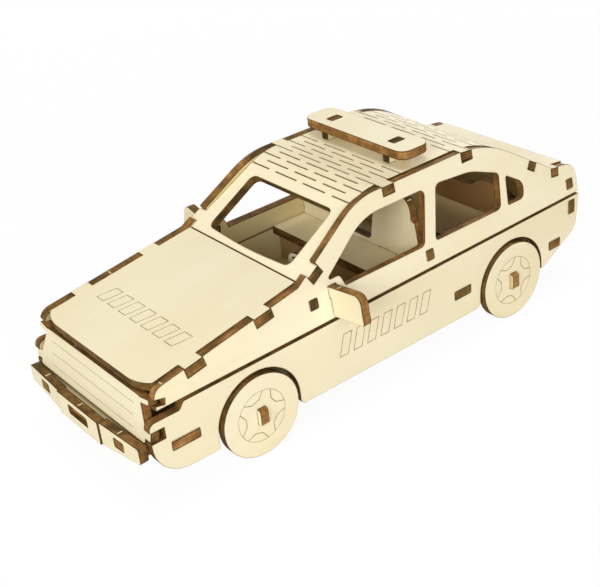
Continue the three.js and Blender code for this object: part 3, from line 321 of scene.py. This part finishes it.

# %% [markdown]
# ## Birch plywood, laser-cut edge
# The laser burns its way through three layers of veneer. The wall that it leaves is charred at both
# rims, brown between them, darker along the two glue lines and striped across the sheet where the
# beam pulsed. A plain brown would do from far away, but the layers are what tells the eye that this
# is plywood, so the tone runs with the third sheet coordinate, the depth. The burn itself goes from
# toasted tan to dark olive brown, in patches and from piece to piece. A level for each piece says how
# far it went, and for walls down in slots and inside the cabin it is set darker as painted shade.

# %% Cut edge material
PULSE_MM = 0.8            # real pulse marks are about 0.1 mm apart, too fine to show, so these are coarser
PULSE_PER_MM_DEEP = 0.12
PULSE_RELIEF_MM = 0.06
SCORCH_PATCH_MM = 7.0
SCORCH_PER_MM_DEEP = 0.25
SCORCH_CONTRAST = 1.6

cut_edge, tree = empty_material("birch_ply_laser_cut_edge")
sheet = add_node(tree, "ShaderNodeAttribute", attribute_name="sheet_mm")
char_and_shade = add_node(tree, "ShaderNodeAttribute", attribute_name="char_and_shade")
axes = add_node(tree, "ShaderNodeSeparateXYZ", {0: sheet.outputs["Vector"]})
depth = add_node(tree, "ShaderNodeMath", {0: axes.outputs["Z"], 1: SHEET_MM}, operation="DIVIDE")
layers = add_node(tree, "ShaderNodeValToRGB", {"Fac": depth.outputs[0]}, stops=[
    (0.00, "707070"), (1.00, "707070"), (0.09, "B4B4B4"), (0.22, "FFFFFF"),
    (0.33, "DADADA"), (0.36, "BEBEBE"), (0.42, "E6E6E6"), (0.58, "E6E6E6"),
    (0.64, "BEBEBE"), (0.67, "DADADA"), (0.78, "FFFFFF"), (0.91, "B4B4B4"),
])
across_pulses = add_node(tree, "ShaderNodeVectorMath", {
    0: sheet.outputs["Vector"], 1: (1 / PULSE_MM, 1 / PULSE_MM, PULSE_PER_MM_DEEP),
}, operation="MULTIPLY")
pulses = add_node(tree, "ShaderNodeTexNoise", {
    "Vector": across_pulses.outputs[0], "Scale": 1.0, "Detail": 2.0, "Roughness": 0.55,
})
in_scorches = add_node(tree, "ShaderNodeVectorMath", {
    0: sheet.outputs["Vector"], 1: (1 / SCORCH_PATCH_MM, 1 / SCORCH_PATCH_MM, SCORCH_PER_MM_DEEP),
}, operation="MULTIPLY")
scorches = add_node(tree, "ShaderNodeTexNoise", {
    "Vector": in_scorches.outputs[0], "Scale": 1.0, "Detail": 3.0, "Roughness": 0.6,
})
patchy = add_node(tree, "ShaderNodeMapRange", {
    "Value": scorches.outputs["Fac"], "To Min": -SCORCH_CONTRAST / 2, "To Max": SCORCH_CONTRAST / 2,
})
# The piece's level joins the burn here, with painted shade for walls in slots and inside the cabin.
burn_and_shade = add_node(tree, "ShaderNodeMath", {
    0: patchy.outputs[0], 1: char_and_shade.outputs["Fac"],
}, operation="ADD")
burnt = add_node(tree, "ShaderNodeValToRGB", {"Fac": burn_and_shade.outputs[0]}, stops=[
    (0.0, "C29458"), (1.0, "34280F"), (0.25, "A27339"), (0.40, "8C612F"),
    (0.50, "7E602D"), (0.62, "6C4A24"), (0.75, "57441D"),
])
striped = add_node(tree, "ShaderNodeMapRange", {
    "Value": pulses.outputs["Fac"], "From Min": 0.3, "From Max": 0.7, "To Min": 0.76, "To Max": 1.20,
})
layered = add_node(tree, "ShaderNodeVectorMath", {
    0: burnt.outputs["Color"], 1: layers.outputs["Color"],
}, operation="MULTIPLY")
charred = add_node(tree, "ShaderNodeVectorMath", {
    0: layered.outputs[0], "Scale": striped.outputs[0],
}, operation="SCALE")
relief = add_node(tree, "ShaderNodeBump", {
    "Height": pulses.outputs["Fac"], "Strength": 0.5, "Distance": PULSE_RELIEF_MM * MM,
})
sheen = add_node(tree, "ShaderNodeMapRange", {
    "Value": scorches.outputs["Fac"], "To Min": 0.58, "To Max": 0.85,
})
shader = add_node(tree, "ShaderNodeBsdfPrincipled", {
    "Base Color": charred.outputs[0], "Roughness": sheen.outputs[0], "IOR": WOOD_IOR,
    "Specular IOR Level": 0.15, "Normal": relief.outputs[0],
})
add_node(tree, "ShaderNodeOutputMaterial", {"Surface": shader.outputs[0]})
print(cut_edge.name, "has", len(tree.nodes), "nodes")

# %% [markdown]
# ## Scored line
# With less power the laser does not cut but scores. The groove is so shallow that it stays inside
# the top veneer, and its walls are toasted to a light tan, much paler than a cut edge. A scored line
# could take the edge material, but then it would read as a gap between two pieces.

# %% Scored line material
TOAST_PATCH_MM = 2.5

score_line, tree = empty_material("birch_ply_scored_line")
sheet = add_node(tree, "ShaderNodeAttribute", attribute_name="sheet_mm")
in_toast = add_node(tree, "ShaderNodeVectorMath", {
    0: sheet.outputs["Vector"], "Scale": 1 / TOAST_PATCH_MM,
}, operation="SCALE")
toast = add_node(tree, "ShaderNodeTexNoise", {
    "Vector": in_toast.outputs[0], "Scale": 1.0, "Detail": 2.0,
})
toasted = add_node(tree, "ShaderNodeValToRGB", {"Fac": toast.outputs["Fac"]},
                   stops=[(0.32, "6F5C30"), (0.68, "B09C66")])
shader = add_node(tree, "ShaderNodeBsdfPrincipled", {
    "Base Color": toasted.outputs["Color"], "Roughness": 0.75, "IOR": WOOD_IOR,
    "Specular IOR Level": 0.25,
})
add_node(tree, "ShaderNodeOutputMaterial", {"Surface": shader.outputs[0]})
print(score_line.name, "has", len(tree.nodes), "nodes")

# %% [markdown]
# ## Torn fibre
# While the laser works, short bridges of uncut wood hold each piece in its sheet. When the piece is
# pushed out they snap, and each leaves a nib of raw, torn fibre, the only pale spot on a burnt wall.
# It is too small to show a pattern, so one plain colour does.

# %% Torn fibre material
torn_fibre, tree = empty_material("birch_ply_torn_fibre")
shader = add_node(tree, "ShaderNodeBsdfPrincipled", {
    "Base Color": linear("DFD0A8"), "Roughness": 0.85, "IOR": WOOD_IOR, "Specular IOR Level": 0.2,
})
add_node(tree, "ShaderNodeOutputMaterial", {"Surface": shader.outputs[0]})
print(torn_fibre.name, "has", len(tree.nodes), "nodes")

# %% [markdown]
# ## Which way a sheet lies
# A piece of plywood has two large faces and a thin wall all round. The face direction could be typed
# in for each of the pieces, but the solid knows it: it is the direction that most of its surface
# looks in. The clean side is put outwards, as a careful builder would. The roof is the one sheet that
# is bent, so its faces are those that look more or less up or down.

# %% Sheet directions
BENT_SHEETS = {"roof_shell"}
FLAT_TOLERANCE = 0.995
BENT_TOLERANCE = 0.70
LARGEST_FACES = 12
CAR_MIDDLE_Z_MM = 36.0


def lying(name):
    """The unit direction that a sheet's faces look in, and how well a face has to agree with it."""
    if name in BENT_SHEETS:
        return Vector((0, 0, 1)), BENT_TOLERANCE
    polygons = frame["nodes"][name].data.polygons
    normals = np.array([p.normal for p in polygons])
    areas = np.array([p.area for p in polygons])
    widest = normals[np.argsort(areas)[-LARGEST_FACES:]]
    facing = [(areas * (np.abs(normals @ n) > FLAT_TOLERANCE)).sum() for n in widest]
    best = Vector(widest[int(np.argmax(facing))])
    from_middle = sum(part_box(name), Vector()) / 2 - Vector((0, 0, CAR_MIDDLE_Z_MM * MM))
    return (best if from_middle.dot(best) >= 0 else -best), FLAT_TOLERANCE


for name in ("side_lower_left", "bonnet", "grille_panel", "roof_shell"):
    print(name, "lies across", [round(x, 3) for x in lying(name)[0]])

# %% [markdown]
# ## From solid to sheet
# The solids arrive as loose triangles. Welding them and dissolving the flat ones gives clean sheet
# faces. The rim between face and wall then gets a small chamfer, because a laser rounds and chars
# that corner, and a dead sharp edge is the first thing that makes a render look false. Walls and
# chamfers take the burnt material, faces the pale one.

# %% Weld, dissolve and chamfer
RIM_MM = 0.09
BENT_RIM_MM = 0.015   # the kerfs of the bend are too narrow for more
WELD_MM = 0.05        # points this close are joined, because shorter edges would fold in the chamfer
FLAT_ANGLE = math.radians(0.4)
OLD_SHADING = ("custom_normal", "sharp_face", "sharp_edge")


def is_face(face, direction, tolerance):
    return abs(face.normal.dot(direction)) > tolerance


def is_rim(edge, direction, tolerance):
    """Whether an edge parts a face of the sheet from a wall."""
    sides = [is_face(face, direction, tolerance) for face in edge.link_faces]
    return len(sides) == 2 and sides[0] != sides[1]


def clean_sheet(name):
    """A mesh of one sheet with welded points, whole faces and chamfered rims."""
    direction, tolerance = lying(name)
    work = bmesh.new()
    work.from_mesh(frame["nodes"][name].data)
    bmesh.ops.remove_doubles(work, verts=work.verts, dist=WELD_MM * MM)
    bmesh.ops.dissolve_limit(work, angle_limit=FLAT_ANGLE, verts=work.verts, edges=work.edges)
    work.normal_update()
    rims = [edge for edge in work.edges if is_rim(edge, direction, tolerance)]
    width = (BENT_RIM_MM if name in BENT_SHEETS else RIM_MM) * MM
    bmesh.ops.bevel(work, geom=rims, offset=width, segments=1, affect="EDGES", clamp_overlap=False)
    mesh = bpy.data.meshes.new(name)
    work.to_mesh(mesh)
    work.free()
    for attribute in [a for a in mesh.attributes if a.name in OLD_SHADING]:
        mesh.attributes.remove(attribute)
    return mesh


sample = clean_sheet("bonnet")
print("bonnet:", len(frame["nodes"]["bonnet"].data.polygons), "triangles became",
      len(sample.polygons), "faces")
bpy.data.meshes.remove(sample)

# %% [markdown]
# ## Flat coordinates for the grain
# Wood grain belongs to the flat sheet, not to the room, so every point gets its place on the sheet
# before it was cut: along the grain, across it and through it, in millimetres. For a flat piece that
# is three dot products. The roof is unrolled: a point's distance along the bent outline stands for
# its place along the flat sheet. Each piece also starts at another spot of the wood, so that no two
# show the same figure.

# %% Sheet coordinates
GRAIN_ACROSS_CAR = {"roof_shell", "bumper_middle", "bumper_left", "bumper_right", "grille_panel"}
FACING_ALONG_CAR = 0.9
SHEET_STEP_MM = (61.0, 43.0)
OUTLINE_STATIONS = 60


def bent_outline(mesh):
    """The side view of a bent sheet's outer face as (y, z) points in order, in millimetres."""
    upper = [p for p in mesh.polygons if p.normal.z > BENT_TOLERANCE]
    used = sorted({v for p in upper for v in p.vertices})
    points = np.array([mesh.vertices[v].co.yz for v in used]) / MM
    points = points[np.argsort(points[:, 0])]
    stations = np.linspace(points[0, 0], points[-1, 0], OUTLINE_STATIONS)
    nearest = [np.abs(points[:, 0] - y).argmin() for y in stations]
    return points[sorted(set(nearest))]


def unrolled(mesh):
    """Each point's arc length along a bent sheet and its distance below the outer face, in mm."""
    outline = bent_outline(mesh)
    starts = outline[:-1]
    steps = np.diff(outline, axis=0)
    lengths = np.linalg.norm(steps, axis=1)
    travelled = np.concatenate([[0], np.cumsum(lengths)[:-1]])
    points = np.array([v.co.yz for v in mesh.vertices]) / MM
    away = points[:, None, :] - starts[None]
    share = np.clip((away * steps).sum(2) / lengths ** 2, 0, 1)
    gaps = np.linalg.norm(away - share[:, :, None] * steps[None], axis=2)
    nearest = gaps.argmin(1)
    rows = np.arange(len(points))
    return travelled[nearest] + share[rows, nearest] * lengths[nearest], gaps[rows, nearest]


def write_sheet_coordinates(mesh, name, number):
    """Stores each point's place on the flat sheet in the attribute sheet_mm."""
    direction, _ = lying(name)
    points = np.array([v.co for v in mesh.vertices]) / MM
    across_car = name in GRAIN_ACROSS_CAR or abs(direction.y) > FACING_ALONG_CAR
    grain = Vector((1, 0, 0)) if across_car else Vector((0, 1, 0))
    grain = (grain - direction * grain.dot(direction)).normalized()
    other = direction.cross(grain)
    if name in BENT_SHEETS:
        length, below = unrolled(mesh)
        flat = np.stack([points[:, 0], length, SHEET_MM - below], axis=1)
    else:
        flat = points @ np.array((grain, other, direction)).T
        flat[:, 2] -= flat[:, 2].min()
    flat[:, 0] += SHEET_STEP_MM[0] * number
    flat[:, 1] += SHEET_STEP_MM[1] * number
    attribute = mesh.attributes.new("sheet_mm", "FLOAT_VECTOR", "POINT")
    attribute.data.foreach_set("vector", flat.astype(np.float32).ravel())


print("grain runs across the car on", sorted(GRAIN_ACROSS_CAR))

# %% [markdown]
# ## Scored lines
# A scored line is a fine V-shaped groove. Painted lines would vanish in the exported shape, so each
# line is a thin wedge swept along its points and cut out of the sheet. The wedge carries the material
# of the groove, and the cut hands it over to the new walls.

# %% Score cutter
DEPTH_SHARE = 0.45
SCORE_ABOVE_MM = 0.15
SHARPEST_MITRE = 0.35


def score_cutter(points, closed, width, place):
    """A wedge along a line of (u, v) points in mm. Place takes (u, v, height) to the car's frame."""
    line = [Vector(p) for p in points]
    count = len(line)
    depth = width * DEPTH_SHARE
    top_half = width / 2 * (depth + SCORE_ABOVE_MM) / depth
    corners = []
    for i, point in enumerate(line):
        came = point - line[i - 1] if closed or i else line[1] - point
        goes = line[(i + 1) % count] - point if closed or i < count - 1 else came
        came.normalize()
        goes = goes.normalized()
        middle = (came + goes).normalized()
        side = Vector((-middle.y, middle.x)) * (top_half / max(SHARPEST_MITRE, middle.dot(came)))
        corners.append(place @ Vector((*point, -depth)))
        corners.append(place @ Vector((*(point + side), SCORE_ABOVE_MM)))
        corners.append(place @ Vector((*(point - side), SCORE_ABOVE_MM)))
    faces = []
    for i in range(count if closed else count - 1):
        here = 3 * i
        there = 3 * ((i + 1) % count)
        for k in range(3):
            faces.append((here + k, here + (k + 1) % 3, there + (k + 1) % 3, there + k))
    if not closed:
        faces += [(0, 1, 2), (3 * count - 3, 3 * count - 1, 3 * count - 2)]
    mesh = bpy.data.meshes.new("score_cutter")
    mesh.from_pydata(corners, [], faces)
    work = bmesh.new()
    work.from_mesh(mesh)
    bmesh.ops.recalc_face_normals(work, faces=work.faces)
    work.to_mesh(mesh)
    work.free()
    mesh.materials.append(score_line)
    return mesh


def carved(mesh, tools, operation):
    """The mesh after a Boolean operation with each of the tool meshes."""
    piece = bpy.data.objects.new("being_carved", mesh)
    bpy.context.scene.collection.objects.link(piece)
    holders = []
    for tool in tools:
        holder = bpy.data.objects.new(tool.name, tool)
        bpy.context.scene.collection.objects.link(holder)
        holders.append(holder)
        carving = piece.modifiers.new("carve", "BOOLEAN")
        carving.operation = operation
        carving.solver = "EXACT"
        carving.material_mode = "TRANSFER"
        carving.object = holder
    bpy.context.view_layer.update()
    finished = piece.evaluated_get(bpy.context.evaluated_depsgraph_get())
    made = bpy.data.meshes.new_from_object(finished)
    for used in (piece, *holders):
        bpy.data.objects.remove(used)
    return made


print("a scored line is", DEPTH_SHARE, "times as deep as it is wide")

# %% [markdown]
# ## What is scored where
# The wheels carry a ring and five rounded windows, which leave a star of five spokes. The grille has
# three long lines. The bonnet and the two lower sides have a plain row of slanting bars, drawn as
# outlines. All of them are planned flat, because a flat plan is easy to draw with two numbers a
# point.

# %% Plans of the scored lines
SCORE_MM = 0.26
FINE_SCORE_MM = 0.15
WHEEL_RING_MM = 8.7
RING_POINTS = 72
WINDOW_INNER_MM = 6.0
WINDOW_HALF_DEG = 26.5
WINDOW_INNER_HALF_DEG = 13.6
WINDOW_FILLET_MM = 0.4
FILLET_STEPS = 4
SPOKES = 5


def on_circle(radius, degrees):
    angle = math.radians(degrees)
    return Vector((radius * math.cos(angle), radius * math.sin(angle)))


def with_fillets(points, radius):
    """An open line whose inner corners are rounded by short curves."""
    soft = [points[0]]
    for before, corner, after in zip(points, points[1:], points[2:]):
        start = corner + (before - corner).normalized() * radius
        end = corner + (after - corner).normalized() * radius
        for i in range(FILLET_STEPS + 1):
            t = i / FILLET_STEPS
            soft.append(start * (1 - t) ** 2 + corner * 2 * t * (1 - t) + end * t ** 2)
    return soft + [points[-1]]


def wheel_lines():
    ring = [on_circle(WHEEL_RING_MM, 360 / RING_POINTS * i) for i in range(RING_POINTS)]
    lines = [(ring, True, FINE_SCORE_MM)]
    for spoke in range(SPOKES):
        middle = (spoke + 0.5) * 360 / SPOKES
        plan = [
            on_circle(WHEEL_RING_MM, middle - WINDOW_HALF_DEG),
            on_circle(WINDOW_INNER_MM, middle - WINDOW_INNER_HALF_DEG),
            on_circle(WINDOW_INNER_MM, middle + WINDOW_INNER_HALF_DEG),
            on_circle(WHEEL_RING_MM, middle + WINDOW_HALF_DEG),
        ]
        lines.append((with_fillets(plan, WINDOW_FILLET_MM), False, SCORE_MM))
    return lines


def slanted_bars(count, pitch, width, height, lean):
    """A row of parallelograms about the origin."""
    bars = []
    for i in range(count):
        middle = (i - (count - 1) / 2) * pitch
        bar = []
        for across, up in ((-0.5, -0.5), (0.5, -0.5), (0.5, 0.5), (-0.5, 0.5)):
            bar.append(Vector((middle + across * width + up * lean, up * height)))
        bars.append((bar, True, SCORE_MM))
    return bars


print("a wheel has", len(wheel_lines()), "scored lines")

# %% [markdown]
# ## Standing the plans up
# Each plan belongs on the outer face of its sheet. The points could be moved there one by one, but a
# place matrix says it once: where the plan's origin goes, and which ways its two axes run. The places
# are measured on the solids, so the lines follow when a sheet moves.

# %% Places of the scored lines
GRILLE_LINE_HALF_MM = 24.0
GRILLE_LINES_MM = (-3.4, -7.3, -11.3)
GRILLE_FLAT_HALF_MM = 27.6
BONNET_BARS = {"count": 7, "pitch": 6.4, "width": 4.0, "height": 6.4, "lean": 1.8}
DOOR_BARS = {"count": 7, "pitch": 5.7, "width": 3.4, "height": 7.4, "lean": 2.1}
BONNET_BARS_Y_MM = -66.5
DOOR_BARS_AT_MM = (0.8, 22.8)
ACROSS = Vector((1, 0, 0))
UP = Vector((0, 0, 1))


def standing(origin, across, up):
    """The matrix from a flat plan in millimetres to the car's frame in metres."""
    turned = Matrix((across, up, across.cross(up))).transposed().to_4x4()
    return Matrix.Translation(origin) @ turned @ Matrix.Scale(MM, 4)


def solid_points(name):
    return np.array([v.co for v in frame["nodes"][name].data.vertices])


scores = {}
for side, sign in (("left", 1), ("right", -1)):
    backward = Vector((0, sign, 0))
    for end in ("front", "rear"):
        low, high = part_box(f"wheel_{end}_{side}")
        hub = (low + high) / 2
        hub.x = high.x if sign > 0 else low.x
        scores[f"wheel_{end}_{side}"] = (wheel_lines(), standing(hub, backward, UP))
    low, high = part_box(f"side_lower_{side}")
    door = Vector((high.x if sign > 0 else low.x, *(x * MM for x in DOOR_BARS_AT_MM)))
    scores[f"side_lower_{side}"] = (slanted_bars(**DOOR_BARS), standing(door, backward, UP))

grille_out = lying("grille_panel")[0]
grille_up = grille_out.cross(ACROSS)
grille_points = solid_points("grille_panel")
grille_face = (grille_points @ np.array(grille_out)).max()
grille_middle = grille_points[np.abs(grille_points[:, 0]) < GRILLE_FLAT_HALF_MM * MM]
grille_top = (grille_middle @ np.array(grille_up)).max()
grille_lines = []
for v in GRILLE_LINES_MM:
    ends = (Vector((-GRILLE_LINE_HALF_MM, v)), Vector((GRILLE_LINE_HALF_MM, v)))
    grille_lines.append((ends, False, FINE_SCORE_MM))
grille_spot = grille_out * grille_face + grille_up * grille_top
scores["grille_panel"] = (grille_lines, standing(grille_spot, ACROSS, grille_up))

bonnet_out = lying("bonnet")[0]
bonnet_face = (solid_points("bonnet") @ np.array(bonnet_out)).max()
bonnet_spot = Vector((0, BONNET_BARS_Y_MM * MM, 0))
bonnet_spot.z = (bonnet_face - bonnet_spot.y * bonnet_out.y) / bonnet_out.z
bonnet_place = standing(bonnet_spot, ACROSS, bonnet_out.cross(ACROSS))
scores["bonnet"] = (slanted_bars(**BONNET_BARS), bonnet_place)
print("scored sheets:", sorted(scores))

# %% [markdown]
# ## Nibs
# A nib is a low ridge across the middle of the wall. Each is listed with a spot near it, in
# millimetres, and the nearest point of a burnt wall is looked up, so that the ridge sits square on
# the wood however the wall leans. A loose block pushed into the wall would look the same, but nib and
# sheet are one piece of wood, so the two are joined into one closed skin.

# %% Nibs of torn fibre
VENEER_SLOT = 0
EDGE_SLOT = 1
NIB_LENGTH_MM = 0.34
NIB_ACROSS_MM = 1.7
NIB_PROUD_MM = 0.08
NIB_ROOT_MM = 0.20
NIB_SPOTS_MM = {
    "bumper_left": [(21.1, -91.7, 22.6)],
    "bumper_middle": [(0.0, -92.1, 22.6)],
    "bumper_right": [(-22.0, -91.9, 22.6)],
    "grille_panel": [(-11.0, -84.0, 36.0)],
    "side_upper_left": [(32.2, -81.2, 40.0)],
    "side_upper_right": [(-32.2, -60.0, 45.0)],
    "mirror_left": [(35.1, -18.3, 45.6)],
    "mirror_right": [(-38.0, -18.3, 47.0)],
    "front_seat_back": [(25.0, 21.8, 56.2)],
    "boot_lid": [(14.0, 94.0, 47.0)],
}


def nibs(mesh, name):
    """A block of torn fibre for each listed spot, set across the wall of the sheet."""
    walls = [tuple(p.vertices) for p in mesh.polygons if p.material_index == EDGE_SLOT]
    wall_finder = BVHTree.FromPolygons([v.co for v in mesh.vertices], walls)
    through, _ = lying(name)
    levels = [v.co.dot(through) for v in mesh.vertices]
    middle = (min(levels) + max(levels)) / 2
    sizes = (NIB_LENGTH_MM, NIB_PROUD_MM + NIB_ROOT_MM, NIB_ACROSS_MM)
    blocks = []
    for spot in NIB_SPOTS_MM[name]:
        place, outward, _, _ = wall_finder.find_nearest(Vector(spot) * MM)
        outward = (outward - through * outward.dot(through)).normalized()
        place += through * (middle - place.dot(through))
        place += outward * (NIB_PROUD_MM - NIB_ROOT_MM) / 2 * MM
        edges = (outward.cross(through), outward, through)
        columns = [edge * size * MM for edge, size in zip(edges, sizes)]
        stand = Matrix.Translation(place) @ Matrix(columns).transposed().to_4x4()
        work = bmesh.new()
        bmesh.ops.create_cube(work, size=1.0, matrix=stand)
        bmesh.ops.recalc_face_normals(work, faces=work.faces)
        block = bpy.data.meshes.new("nib")
        work.to_mesh(block)
        work.free()
        block.materials.append(torn_fibre)
        blocks.append(block)
    return blocks


print(sum(len(spots) for spots in NIB_SPOTS_MM.values()), "nibs on", len(NIB_SPOTS_MM), "sheets")

# %% [markdown]
# ## How burnt, how smoky and how shaded
# A laser does not burn evenly, so some pieces have tan walls and others nearly black ones. The levels
# could be drawn at random, but here each is matched to its piece in the picture, and all the rest
# share one usual level. So they carry painted shade too: walls down in slots and inside the cabin are
# set darker, and the backs of the sheets are darkened most where the cabin lies deepest in shadow.

# %% Burn, smoke and painted shade levels
USUAL_CHAR = 0.5
# Partly real burn, partly painted shade: the light-bar feet, whose tops sit down in their slots, and the
# dashboard and seats inside the cabin have walls set dark for the shade there.
CHAR_AND_SHADE_OF = {
    "axle_front": 0.30,
    "axle_rear": 0.15,
    "bonnet": 0.46,
    "boot_lid": 0.36,
    "bumper_left": 0.62,
    "bumper_middle": 0.58,
    "bumper_right": 0.62,
    "dashboard": 0.70,
    "floor_sheet": 0.33,
    "front_seat_base": 0.60,
    "grille_panel": 0.42,
    "light_bar": 0.30,
    "light_bar_foot_left": 0.78,
    "light_bar_foot_right": 0.78,
    "mirror_left": 0.34,
    "rear_seat_back": 0.70,
    "roof_shell": 0.60,
    "side_lower_left": 0.46,
    "side_upper_left": 0.37,
    "tail_panel": 0.40,
}
# Painted shade of the car's inside: every back face is darkened. The rear seat back, rear bench and seat
# riser deep in the cabin are darkened most, and the front seat, which light reaches through the
# windscreen, least.
USUAL_BACK_SMOKE_AND_SHADE = 0.60
BACK_SMOKE_AND_SHADE_OF = {
    "front_seat_back": 0.22,
    "front_seat_base": 0.10,
    "front_seat_riser": 0.90,
    "rear_bench": 0.80,
    "rear_seat_back": 1.0,
}


def write_level(mesh, attribute_name, level):
    """Stores one number for the whole sheet."""
    attribute = mesh.attributes.new(attribute_name, "FLOAT", "POINT")
    attribute.data.foreach_set("value", [level] * len(mesh.vertices))


print(len(CHAR_AND_SHADE_OF), "sheets have their own burn and", len(BACK_SMOKE_AND_SHADE_OF), "their own stain")

# %% [markdown]
# ## Dressing every sheet
# Now the steps come together. Each solid is cleaned and given its two materials, scored where it has
# a plan, joined with its nib where it has one, and marked with its flat coordinates and its two
# levels. The new piece stands for its solid and rides on the same body, so that the wheels take their
# grain and their star with them when they turn.

# %% Dress the car
SMOOTH_ANGLE = math.radians(28)

bodies = frame["record"]["behaviour"]["bodies"]
body_of = {node: body for body, nodes in bodies.items() for node in nodes}

for number, name in enumerate(sorted(frame["nodes"])):
    direction, tolerance = lying(name)
    mesh = clean_sheet(name)
    mesh.materials.clear()
    mesh.materials.append(veneer)
    mesh.materials.append(cut_edge)
    for polygon in mesh.polygons:
        is_veneer = is_face(polygon, direction, tolerance)
        polygon.material_index = VENEER_SLOT if is_veneer else EDGE_SLOT
        polygon.use_smooth = True
    if name in scores:
        lines, place = scores[name]
        mesh = carved(mesh, [score_cutter(*line, place) for line in lines], "DIFFERENCE")
    if name in NIB_SPOTS_MM:
        mesh = carved(mesh, nibs(mesh, name), "UNION")
    mesh.name = f"{name}_ply"
    mesh.set_sharp_from_angle(angle=SMOOTH_ANGLE)
    write_sheet_coordinates(mesh, name, number)
    write_level(mesh, "char_and_shade", CHAR_AND_SHADE_OF.get(name, USUAL_CHAR))
    write_level(mesh, "back_smoke_and_shade", BACK_SMOKE_AND_SHADE_OF.get(name, USUAL_BACK_SMOKE_AND_SHADE))
    piece = bpy.data.objects.new(f"{name}_ply", mesh)
    bpy.context.scene.collection.objects.link(piece)
    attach(piece, body_of[name])
    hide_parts(name)
print("dressed", len(frame["nodes"]), "sheets")
